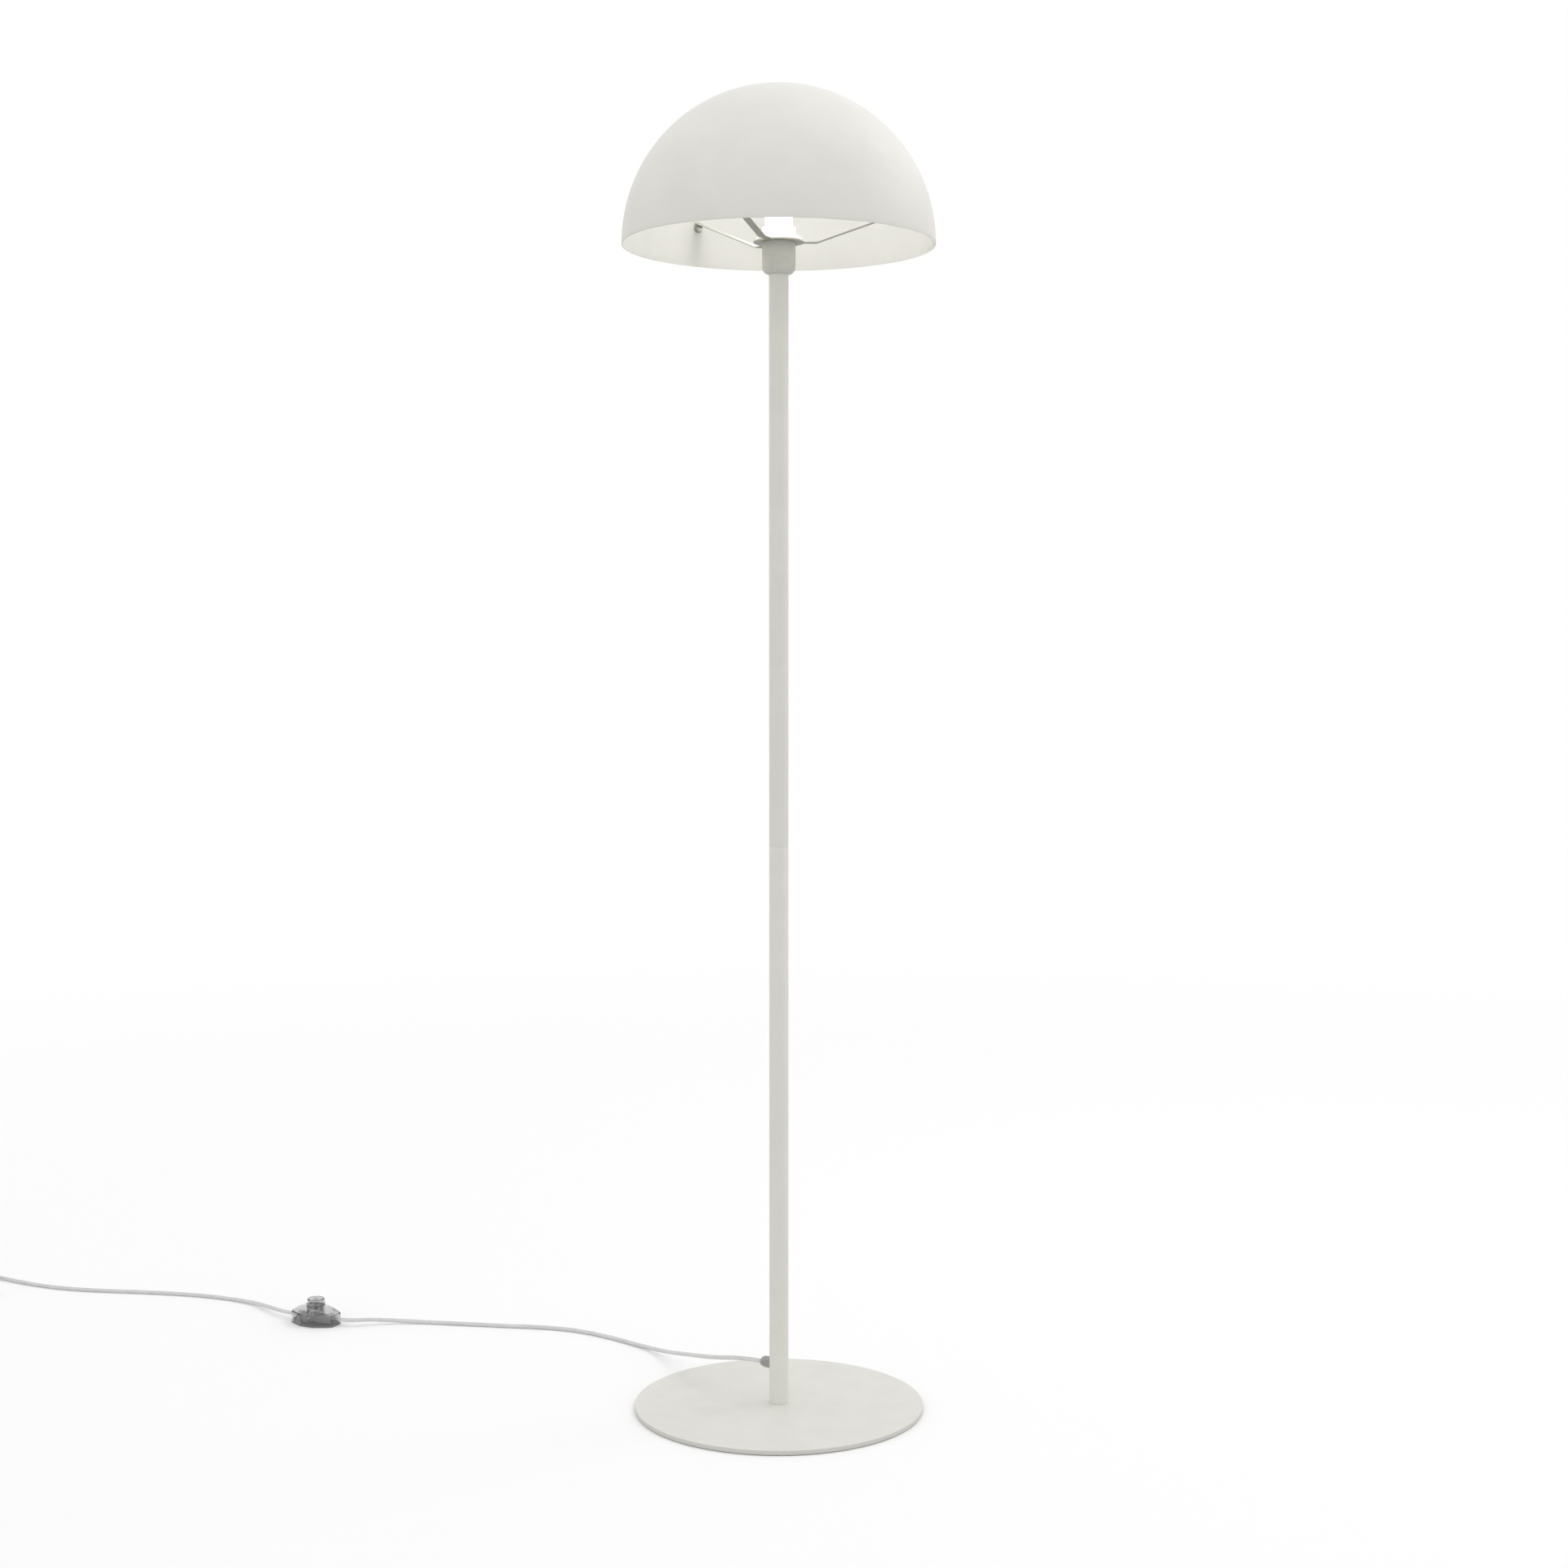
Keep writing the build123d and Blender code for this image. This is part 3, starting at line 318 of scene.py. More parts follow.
# turns a closed outline of (radius, height) in mm about Z
def revolve(bm, outline, steps, place=None):
    place = place or Matrix.Identity(4)
    rings = []
    for radius, height in outline:
        if radius < 1e-4:  # on the axis
            rings.append([bm.verts.new(place @ Vector((0, 0, height * mm)))])
            continue
        ring = []
        for k in range(steps):
            angle = 2 * math.pi * k / steps
            spot = Vector((radius * math.cos(angle), radius * math.sin(angle), height)) * mm
            ring.append(bm.verts.new(place @ spot))
        rings.append(ring)
    for lower, upper in zip(rings, rings[1:] + rings[:1]):
        for k in range(steps):
            n = (k + 1) % steps
            if len(lower) == 1 and len(upper) == 1:
                break
            if len(lower) == 1:
                bm.faces.new((lower[0], upper[k], upper[n]))
            elif len(upper) == 1:
                bm.faces.new((lower[k], lower[n], upper[0]))
            else:
                bm.faces.new((lower[k], lower[n], upper[n], upper[k]))


# joins rings of points, each of the same count, into a closed skin; a looped one runs back to its start
def skinRings(bm, rings, looped=False):
    made = [[bm.verts.new(p) for p in ring] for ring in rings]
    pairs = list(zip(made, made[1:]))
    if looped:
        pairs.append((made[-1], made[0]))
    for first, second in pairs:
        count = len(first)
        for k in range(count):
            n = (k + 1) % count
            bm.faces.new((first[k], first[n], second[n], second[k]))
    if not looped:
        bm.faces.new(made[0][::-1])
        bm.faces.new(made[-1])


# makes the piece, shades it smooth below the given angle and hangs it on the lamp
def addPiece(name, bm, material, node, smooth=38):
    bmesh.ops.recalc_face_normals(bm, faces=bm.faces[:])
    mesh = meshFrom(name, bm)
    mesh.polygons.foreach_set("use_smooth", [True] * len(mesh.polygons))
    mesh.set_sharp_from_angle(angle=math.radians(smooth))
    mesh.materials.append(material)
    piece = addObject(name, mesh)
    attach(piece, "lamp")
    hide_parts(node)
    return piece


# a CAD node that keeps its shape gets its finish
def dressNode(material, *nodes):
    for node in nodes:
        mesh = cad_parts[node].data
        mesh.materials.clear()
        mesh.materials.append(material)


# takes the cutter's volume out of a piece
def cutWith(piece, bm):
    bmesh.ops.recalc_face_normals(bm, faces=bm.faces[:])
    cutter = addObject("cutter", meshFrom("cutter", bm))
    cut = piece.modifiers.new("cut", "BOOLEAN")
    cut.operation = "DIFFERENCE"
    cut.solver = "EXACT"
    cut.object = cutter
    graph = bpy.context.evaluated_depsgraph_get()
    done = bpy.data.meshes.new_from_object(piece.evaluated_get(graph))
    piece.modifiers.clear()
    piece.data = done
    bpy.data.objects.remove(cutter)


# Cord

cordSettings = {
    "diameter": 5.6,
    "bevelSteps": 5,
    "curveSteps": 10,
    "coilHeading": 146.3,
    "coilStart": (-1.256, 0.6553, 0.0037),
    "coilLead": 6.0,
    "outerRadius": 35.6,
    "turnStep": 3.1,  # half of the way from one turn to the next
    "layerStep": 6.2,
    "pointsPerHalfTurn": 8,
    "tailStraight": 8.0,
    "tailFall": 26.2,
    "plugHeight": 0.007,
    "intoPlug": 6.0,
}

lampRoute = [
    (-0.02208, 0.01275, 0.0574), (-0.04677, 0.027, 0.0574), (-0.082, 0.066, 0.046),
    (-0.106, 0.107, 0.0355), (-0.128, 0.152, 0.0245), (-0.15, 0.198, 0.013),
    (-0.172, 0.238, 0.0052), (-0.202, 0.27, 0.0029), (-0.242, 0.3065, 0.0029),
    (-0.288, 0.339, 0.0029), (-0.34, 0.356, 0.0029), (-0.398, 0.364, 0.0029),
    (-0.458, 0.374, 0.0029), (-0.516, 0.384, 0.0029), (-0.562, 0.387, 0.0046),
    (-0.6, 0.3785, 0.0086), (-0.63267, 0.36932, 0.0095), (-0.66167, 0.38285, 0.0095),
]

wallRoute = [
    (-0.69793, 0.39975, 0.0095), (-0.72693, 0.41328, 0.0095), (-0.757, 0.445, 0.008),
    (-0.786, 0.482, 0.004), (-0.825, 0.508, 0.0029), (-0.875, 0.5285, 0.0029),
    (-0.935, 0.5435, 0.0029), (-0.995, 0.5525, 0.0029), (-1.055, 0.56, 0.0029),
    (-1.11, 0.5735, 0.0029), (-1.163, 0.597, 0.0029), (-1.22439, 0.63422, 0.0037),
]


# the coil's control points: half turns that spiral in, climb a layer and spiral out again
def coilPoints(s):
    angle = math.radians(s["coilHeading"])
    ahead = Vector((math.cos(angle), math.sin(angle), 0))
    left = Vector((-ahead.y, ahead.x, 0))
    here = Vector(s["coilStart"]) + ahead * s["coilLead"] * mm
    steps = s["pointsPerHalfTurn"]
    stand = 1 / math.cos(math.pi / steps / 2) ** 2  # the spline runs inside its corners
    points = [here.copy()]
    for i, inner in enumerate((0, 1, 2, 1, 0)):
        radius = (s["outerRadius"] - inner * s["turnStep"]) * mm
        centre = here + left * radius
        side = 1 if i % 2 == 0 else -1
        climb = s["layerStep"] * mm if inner == 2 else 0
        for k in range(steps):
            turn = math.pi * (k + 0.5) / steps
            out = (ahead * math.sin(turn) * side - left * math.cos(turn)) * radius * stand
            lift = Vector((0, 0, climb * (1 - math.cos(turn)) / 2))
            points.append(centre + out + lift)
        here = centre + left * radius + Vector((0, 0, climb))
        left = left * -1
    return points, here, ahead * -1


def tailPoints(s, start, ahead):
    down = Vector((0, 0, s["plugHeight"] - start.z))
    bent = start + ahead * s["tailStraight"] * mm
    flat = bent + ahead * s["tailFall"] * mm + down
    end = flat + ahead * s["tailStraight"] * mm
    return [start, bent, bent + (flat - bent) * 0.5, flat, end], end


def addCordCurve(name, points, s, material):
    data = bpy.data.curves.new(name, "CURVE")
    data.dimensions = "3D"
    data.bevel_depth = s["diameter"] / 2 * mm
    data.bevel_resolution = s["bevelSteps"]
    data.use_fill_caps = True
    data.resolution_u = s["curveSteps"]
    spline = data.splines.new("NURBS")
    spline.points.add(len(points) - 1)
    for spot, point in zip(spline.points, points):
        spot.co = (*point, 1.0)
    spline.order_u = 3
    spline.use_endpoint_u = True
    data.materials.append(material)
    cord = addObject(name, data)
    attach(cord, "lamp")
    return cord


lampCord = addCordCurve("lampCord", lampRoute, cordSettings, cordPvc)
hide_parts("cord_lamp_side")
coil, coilEnd, coilAhead = coilPoints(cordSettings)
tail, plugEntry = tailPoints(cordSettings, coilEnd, coilAhead)
plugTip = plugEntry + coilAhead * cordSettings["intoPlug"] * mm
wallCord = addCordCurve("wallCord", wallRoute + coil + tail[1:] + [plugTip], cordSettings, cordPvc)
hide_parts("cord_wall_side", "cord_coil")
print("cords laid")


# Plug: a moulded body that swells out of a ribbed strain relief

plugSettings = {
    "reliefLength": 24.0,
    "reliefTip": 3.6,
    "reliefRoot": 4.8,
    "ribs": 5,
    "ribDepth": 0.5,
    "bodyLength": 35.0,
    "rearWidth": 13.0,
    "width": 35.0,
    "thickness": 14.0,
    "shoulder": 14.0,
    "ringPoints": 96,
    "swellSteps": 16,
    "swellShare": 0.97,
    "gap": 0.3,
    "edge": 1.6,
    "edgeSteps": 5,
    "roundPower": 2.0,  # 2 is a circle, more is boxier
    "rearPower": 2.2,
    "frontPower": 4.8,
}


# one ring across the plug: a superellipse that is round at the relief and boxy at the body
def plugRing(x, halfWidth, halfHeight, power, count):
    ring = []
    for k in range(count):
        angle = 2 * math.pi * k / count
        c, s = math.cos(angle), math.sin(angle)
        y = math.copysign(abs(c) ** (2 / power), c) * halfWidth
        z = math.copysign(abs(s) ** (2 / power), s) * halfHeight
        ring.append(Vector((x, y, z)) * mm)
    return ring


def makePlug(s, place):
    bm = bmesh.new()
    count = s["ringPoints"]
    rings = []
    pitch = s["reliefLength"] / s["ribs"]
    for i in range(s["ribs"]):
        for share, dip in ((0.0, 0.0), (0.12, 0.0), (0.3, 1.0), (0.5, 1.0), (0.68, 0.0)):
            x = pitch * (i + share)
            radius = s["reliefTip"] + (s["reliefRoot"] - s["reliefTip"]) * x / s["reliefLength"]
            radius -= dip * s["ribDepth"]
            rings.append(plugRing(x, radius, radius, s["roundPower"], count))
    start = s["reliefLength"]
    for i in range(s["swellSteps"] + 1):
        share = i / s["swellSteps"]
        ease = math.sin(share * math.pi / 2)
        width = s["rearWidth"] / 2 + (s["width"] - s["rearWidth"]) / 2 * ease
        height = s["reliefRoot"] + (s["thickness"] / 2 - s["reliefRoot"]) * min(1, share * 2) ** 0.5
        power = s["rearPower"] + (s["frontPower"] - s["rearPower"]) * ease
        # the swell starts just after the relief and ends just before the flat sides
        x = start + s["gap"] + s["shoulder"] * share * s["swellShare"]
        rings.append(plugRing(x, width, height, power, count))
    front = start + s["bodyLength"]
    for k in range(s["edgeSteps"] + 1):
        turn = math.pi / 2 * k / s["edgeSteps"]
        inset, back = s["edge"] * (1 - math.cos(turn)), s["edge"] * (1 - math.sin(turn))
        width, height = s["width"] / 2 - inset, s["thickness"] / 2 - inset
        rings.append(plugRing(front - back, width, height, s["frontPower"], count))
    skinRings(bm, [[place @ p for p in ring] for ring in rings])
    return addPiece("plugBody", bm, plugPvc, "plug_body", smooth=45)


plugTurn = math.radians(cordSettings["coilHeading"] + 180)
plugPlace = Matrix.Translation(plugEntry) @ Matrix.Rotation(plugTurn, 4, "Z")
plugBody = makePlug(plugSettings, plugPlace)


# Shade: a spun hemisphere with its edge rolled smooth

shadeSettings = {
    "radius": 200.0, "thickness": 1.2, "rimHeight": 1505.0,
    "arcSteps": 48, "turnSteps": 192, "edgeSteps": 6,
}


def makeShade(s):
    bm = bmesh.new()
    half = s["thickness"] / 2
    middle = s["radius"] - half
    foot = s["rimHeight"] + half
    quarter = [math.pi / 2 * k / s["arcSteps"] for k in range(s["arcSteps"] + 1)]
    outline = []
    for radius, angles in ((s["radius"], quarter), (s["radius"] - s["thickness"], quarter[::-1])):
        outline += [(radius * math.cos(a), foot + (radius - half) * math.sin(a)) for a in angles]
    for k in range(1, s["edgeSteps"]):
        angle = math.pi + math.pi * k / s["edgeSteps"]
        outline.append((middle + half * math.cos(angle), foot + half * math.sin(angle)))
    revolve(bm, outline, s["turnSteps"])
    addPiece("shadeDome", bm, shadeCoat, "shade")


makeShade(shadeSettings)


# Stand: base plate, two pole tubes and the cup

standSettings = {
    "baseRadius": 188.5, "baseBottom": 0.8, "baseTop": 6.8, "baseEdge": 0.8,
    "screwMouth": 8.25, "screwHole": 4.25,
    "poleRadius": 12.5, "poleBore": 11.0, "poleJoint": 737.8, "poleTop": 1468.8, "poleEdge": 0.35,
    "cupRadius": 21.3, "cupWall": 1.2, "cupTop": 1508.8, "cupCorner": 9.0, "cupHole": 5.15,
    "cupEdge": 0.5, "holeEdge": 0.3,
    "turnSteps": 160, "cornerSteps": 10,
}


def makeBase(s):
    bm = bmesh.new()
    sinkDepth = s["screwMouth"] - s["screwHole"]
    revolve(bm, softened([
        (s["screwHole"], s["baseTop"], 0), (s["screwHole"], s["baseBottom"] + sinkDepth, 0),
        (s["screwMouth"], s["baseBottom"], 0), (s["baseRadius"], s["baseBottom"], s["baseEdge"]),
        (s["baseRadius"], s["baseTop"], s["baseEdge"]),
    ]), s["turnSteps"])
    # the base plate gets the darker coat, which is painted shade
    addPiece("basePlate", bm, baseCoatPaintedShade, "base_plate")


def makePole(s):
    edge = s["poleEdge"]
    for name, node, low, high in (
        ("poleLower", "pole_lower", s["baseTop"], s["poleJoint"]),
        ("poleUpper", "pole_upper", s["poleJoint"], s["poleTop"]),
    ):
        bm = bmesh.new()
        revolve(bm, softened([
            (s["poleBore"], low, 0), (s["poleRadius"], low, edge),
            (s["poleRadius"], high, edge), (s["poleBore"], high, 0),
        ]), roundSteps)
        addPiece(name, bm, standCoat, node)


def makeCup(s):
    bm = bmesh.new()
    inner = s["cupRadius"] - s["cupWall"]
    floor = s["poleTop"] + s["cupWall"]
    revolve(bm, softened([
        (s["cupHole"], s["poleTop"], s["holeEdge"]), (s["cupRadius"], s["poleTop"], s["cupCorner"]),
        (s["cupRadius"], s["cupTop"], s["cupEdge"]), (inner, s["cupTop"], s["cupEdge"]),
        (inner, floor, s["cupCorner"] - s["cupWall"]), (s["cupHole"], floor, s["holeEdge"]),
    ], steps=s["cornerSteps"]), roundSteps)
    # the cup gets the greyer coat, which is painted shade under the dome
    addPiece("holderCup", bm, cupCoatPaintedShade, "holder_cup")


makeBase(standSettings)
makePole(standSettings)
makeCup(standSettings)
print("stand and shade made")


# Carrier: a ring with three bent arms whose ends are fixed to the shade

carrierSettings = {
    "ringRadius": 32.5, "ringBore": 19.65, "thickness": 2.0, "bottom": 1508.8,
    "armAzimuth": 3.9, "armCount": 3, "armWidth": 10.0, "flatRadius": 48.4,
    "armRoot": 3.0,  # how far an arm starts inside the ring's edge
    "armDrop": 0.02,  # keeps its faces off the ring's
    "tabWidth": 12.4, "tabReach": 188.0, "tabSteps": 8, "tipHalf": 0.6,
    "paintedShadeTilt": -0.3,  # faces that look down further than this get the grey as painted shade
    "shadeBore": 198.8, "tabGap": 0.3, "tabRise": 50.0, "tabUp": 6.2, "tabDown": 6.0,
    "bend": 9.0, "fold": 2.0, "foldSteps": 8, "edge": 0.45, "boreEdge": 0.3,
    "nutRadius": 4.0, "nutHeight": 3.2,
    "domeRadius": 3.1, "domeHeight": 3.4, "domeRound": 2.6, "domeRoot": 0.5, "rimHeight": 1505.0,
}


# rounded strip section at a point of the arm: width across Y, thickness along the normal
def stripRing(spot, normal, width, thickness, edge):
    w, t = width / 2, thickness / 2
    corner = min(edge, w * 0.9)
    outline = softened([(w, t, corner), (-w, t, corner), (-w, -t, corner), (w, -t, corner)], steps=2)
    return [Vector((spot.x + normal.x * p.y, p.x, spot.y + normal.y * p.y)) * mm for p in outline]


def armRings(s):
    rise = math.asin(s["tabRise"] / s["shadeBore"])
    middle = s["shadeBore"] - s["tabGap"] - s["thickness"] / 2
    tab = Vector((middle * math.cos(rise), s["rimHeight"] + middle * math.sin(rise)))
    down = Vector((math.sin(rise), -math.cos(rise)))
    top = tab - down * s["tabUp"]
    low = tab + down * s["tabDown"]
    flat = s["bottom"] + s["thickness"] / 2 - s["armDrop"]
    path = softened([
        (s["ringRadius"] - s["armRoot"], flat, 0), (s["flatRadius"], flat, s["bend"]),
        (top.x, top.y, s["fold"]), (low.x, low.y, 0),
    ], steps=s["foldSteps"], closed=False)
    # the tab's end is a half circle, so the last stretch is cut into narrowing steps
    half = s["tabWidth"] / 2
    rounded = path[:-1]
    for k in range(s["tabSteps"]):
        rounded.append(low - down * half * (1 - math.sin(math.pi / 2 * k / s["tabSteps"])))
    rings = []
    for i, spot in enumerate(rounded):
        before = rounded[max(i - 1, 0)]
        after = rounded[min(i + 1, len(rounded) - 1)]
        along = (after - before).normalized()
        away = (low - spot).length
        width = s["armWidth"]
        if i >= len(path) - s["foldSteps"]:
            width = s["tabWidth"]
        if away < half:
            width = 2 * math.sqrt(max(half ** 2 - (half - away) ** 2, s["tipHalf"] ** 2))
        rings.append(stripRing(spot, Vector((-along.y, along.x)), width, s["thickness"], s["edge"]))
    return rings


def makeCarrier(s):
    bm = bmesh.new()
    top = s["bottom"] + s["thickness"]
    revolve(bm, softened([
        (s["ringBore"], s["bottom"], s["boreEdge"]), (s["ringRadius"], s["bottom"], s["edge"]),
        (s["ringRadius"], top, s["edge"]), (s["ringBore"], top, s["boreEdge"]),
    ], steps=3), roundSteps)
    rings = armRings(s)
    for i in range(s["armCount"]):
        turn = Matrix.Rotation(math.radians(s["armAzimuth"] + 360 * i / s["armCount"]), 4, "Z")
        skinRings(bm, [[turn @ p for p in ring] for ring in rings])
    carrier = addPiece("shadeCarrier", bm, standCoat, "shade_carrier")
    # the tabs and the faces that look down get the grey; on the faces that look down it is painted shade
    carrier.data.materials.append(tabGreyAndPaintedShade)
    for face in carrier.data.polygons:
        atTab = face.center.xy.length > s["tabReach"] * mm
        face.material_index = int(atTab or face.normal.z < s["paintedShadeTilt"])


# cap nuts on the studs, each turned about the line out of the shade's middle
def makeNuts(s):
    bm = bmesh.new()
    rise = math.degrees(math.asin(s["tabRise"] / s["shadeBore"]))
    seat = s["shadeBore"] - s["tabGap"] - s["thickness"]
    flat = seat - s["nutHeight"]
    end = flat - s["domeHeight"]
    for i in range(s["armCount"]):
        place = (
            Matrix.Translation((0, 0, s["rimHeight"] * mm))
            @ Matrix.Rotation(math.radians(s["armAzimuth"] + 360 * i / s["armCount"]), 4, "Z")
            @ Matrix.Rotation(math.radians(90 - rise), 4, "Y")
        )
        revolve(bm, softened([
            (0, seat, 0), (0, flat, 0), (s["nutRadius"], flat, 0.5), (s["nutRadius"], seat, 0.3),
        ], steps=3), 6, place)
        root = flat + s["domeRoot"]
        revolve(bm, softened([
            (0, root, 0), (0, end, 0), (s["domeRadius"], end, s["domeRound"]), (s["domeRadius"], root, 0),
        ], steps=8), smallSteps, place)
    addPiece("shadeNuts", bm, satinSteel, "shade_nuts", smooth=25)


makeCarrier(carrierSettings)
makeNuts(carrierSettings)


# Lampholder and its ring

holderSettings = {
    "radius": 19.5, "wall": 2.0, "neck": 7.5, "nipple": 5.0,
    "bottom": 1473.0, "shoulder": 1480.0, "neckTop": 1482.0, "joint": 1498.0, "top": 1528.0, "mouth": 14.8,
    "ringBore": 19.65, "ringFlange": 29.5, "ringBottom": 1510.8, "flangeHeight": 3.0,
    "coneHeight": 5.0, "ringRadius": 21.9, "ringHeight": 17.0,
    "ribs": 40, "stepsPerRib": 8, "ribDepth": 0.3, "ribMargin": 1.0,
}


def makeHolder(s):
    inner = s["radius"] - s["wall"]
    lip = s["top"] - s["wall"]
    bm = bmesh.new()
    revolve(bm, softened([
        (s["nipple"], s["bottom"], 0.2), (s["neck"], s["bottom"], 0.6), (s["neck"], s["shoulder"], 0.6),
        (s["radius"], s["shoulder"], 2.0), (s["radius"], s["joint"], 0.4), (inner, s["joint"], 0),
        (inner, s["neckTop"], 0.6), (s["nipple"], s["neckTop"], 0.2),
    ]), roundSteps)
    addPiece("lampholderCap", bm, holderPlastic, "lampholder_cap")
    bm = bmesh.new()
    revolve(bm, softened([
        (inner, s["joint"], 0), (s["radius"], s["joint"], 0.4), (s["radius"], s["top"], 0.8),
        (s["mouth"], s["top"], 0.6), (s["mouth"], lip, 0.3), (inner, lip, 0),
    ]), roundSteps)
    addPiece("lampholderBody", bm, holderPlastic, "lampholder_body")


def makeShadeRing(s):
    bm = bmesh.new()
    flangeTop = s["ringBottom"] + s["flangeHeight"]
    coneTop = flangeTop + s["coneHeight"]
    top = s["ringBottom"] + s["ringHeight"]
    revolve(bm, softened([
        (s["ringBore"], s["ringBottom"], 0.3), (s["ringFlange"], s["ringBottom"], 0.6),
        (s["ringFlange"], flangeTop, 0.9), (s["ringRadius"], coneTop, 2.0),
        (s["ringRadius"], top, 0.8), (s["ringBore"], top, 0.5),
    ], steps=4), s["ribs"] * s["stepsPerRib"])
    # grip ribs: the round wall above the cone dips between them
    low, high = coneTop - s["ribMargin"], top - s["ribMargin"]
    for v in bm.verts:
        onWall = v.co.xy.length > (s["ringRadius"] - s["ribMargin"]) * mm
        if onWall and low < v.co.z / mm < high:
            angle = math.atan2(v.co.y, v.co.x)
            dip = s["ribDepth"] * (0.5 - 0.5 * math.cos(angle * s["ribs"])) ** 2
            v.co.x -= math.cos(angle) * dip * mm
            v.co.y -= math.sin(angle) * dip * mm
    # the ring's material carries a painted glow for the bulb's light
    addPiece("shadeRing", bm, ringPlasticPaintedGlow, "shade_ring")


makeHolder(holderSettings)
makeShadeRing(holderSettings)


# Bulb: a round frosted globe that runs into its neck

bulbSettings = {
    "radius": 30.0, "centre": 1577.9, "neckRadius": 17.3, "neckLow": 1527.9, "neckFoot": 13.4,
    "shoulderTop": 1532.5, "shoulderRound": 3.0, "footRound": 1.0,
    "blend": 16.0, "blendSteps": 8, "globeSteps": 36,
}


def makeBulb(s):
    bm = bmesh.new()
    shoulder = s["shoulderRound"]
    outline = softened([
        (0, s["neckLow"], 0), (s["neckFoot"], s["neckLow"], s["footRound"]),
        (s["neckRadius"], s["shoulderTop"], shoulder), (s["neckRadius"], s["shoulderTop"] + shoulder, 0),
    ], closed=False)
    # the neck's hollow arc touches the globe where both have the same slope
    out, reach = s["neckRadius"] + s["blend"], s["radius"] + s["blend"]
    lowArc = math.acos(out / reach)
    hollow = Vector((out, s["centre"] - reach * math.sin(lowArc)))
    for k in range(s["blendSteps"] + 1):
        angle = math.pi - lowArc * k / s["blendSteps"]
        outline.append(hollow + Vector((math.cos(angle), math.sin(angle))) * s["blend"])
    for k in range(1, s["globeSteps"] + 1):
        angle = -lowArc + (math.pi / 2 + lowArc) * k / s["globeSteps"]
        outline.append(Vector((0, s["centre"])) + Vector((math.cos(angle), math.sin(angle))) * s["radius"])
    revolve(bm, outline, roundSteps)
    addPiece("bulbGlass", bm, frostedGlass, "bulb_glass")


makeBulb(bulbSettings)
print("head made")


# Foot switch: the clear vaulted cover, which runs up to a collar round the button, and the spring in it

switchSettings = {
    "place": (-679.8, 391.3), "azimuth": 155.0,
    "length": 73.3, "endWidth": 23.7, "flatLength": 23.2, "width": 48.6, "corner": 8.0,
    "seam": 3.2, "footBand": 4.0, "side": 15.5, "crown": 29.5, "ridge": 1.0, "edge": 1.6, "wall": 1.8,
    "collarRadius": 13.55, "collarBore": 12.75, "collarTop": 30.3, "collarLow": 17.0, "lip": 0.25,
    "bossPlace": 18.2, "bossRadius": 2.8, "bossBore": 1.4, "bossDepth": 12.2,
    "bossRoot": 0.5, "bossGap": 0.15,
    "cordHeight": 9.5, "cordHole": 2.95, "drillNear": 30.0, "drillFar": 60.0,
    "turnSteps": 144, "crownSteps": 10, "edgeSteps": 4, "cornerSteps": 10,
}


# the four pairs of sides: the way each faces and how far out it lies
def switchSides(s):
    facing = math.atan2(s["length"] - s["flatLength"], s["width"] - s["endWidth"])
    reach = (s["length"] * math.cos(facing) + s["endWidth"] * math.sin(facing)) / 2
    return (0, s["length"] / 2), (math.pi / 2, s["width"] / 2), (facing, reach), (-facing, reach)


def turnAngle(s, k):
    return 2 * math.pi * (k + 0.5) / s["turnSteps"]


# how far the housing's outline, moved in by the inset, lies from the middle at each angle
def switchReach(s, inset):
    sides = [(a, r - inset) for a, r in switchSides(s)]
    sides = sorted([(a % (2 * math.pi), r) for a, r in sides + [(a + math.pi, r) for a, r in sides]])
    corners = []
    for (a, r), (b, q) in zip(sides, sides[1:] + sides[:1]):
        span = math.sin(b - a)
        x = (r * math.sin(b) - q * math.sin(a)) / span
        y = (q * math.cos(a) - r * math.cos(b)) / span
        corners.append((x, y, s["corner"] - inset / 2))
    outline = softened(corners, steps=s["cornerSteps"])
    reach = []
    for k in range(s["turnSteps"]):
        angle = turnAngle(s, k)
        c, d = math.cos(angle), math.sin(angle)
        for first, second in zip(outline, outline[1:] + outline[:1]):
            run = second - first
            cross = c * run.y - d * run.x
            if abs(cross) > 1e-9:
                away = (first.x * run.y - first.y * run.x) / cross
                share = (first.x * d - first.y * c) / cross
                if away > 0 and -1e-6 <= share <= 1 + 1e-6:
                    reach.append(away)
                    break
    return reach


# a vault for each pair of sides, with soft ridges between them: the deepest drop of the four, smoothed
def vaultHeight(s, x, y):
    rise = s["crown"] - s["side"]
    sides = switchSides(s)
    total = 0.0
    for azimuth, half in sides:
        radius = (half ** 2 + rise ** 2) / (2 * rise)
        across = x * math.cos(azimuth) + y * math.sin(azimuth)
        drop = radius - math.sqrt(radius ** 2 - across ** 2)
        total += math.exp(drop / s["ridge"])
    return s["crown"] - math.log(total / len(sides)) * s["ridge"]


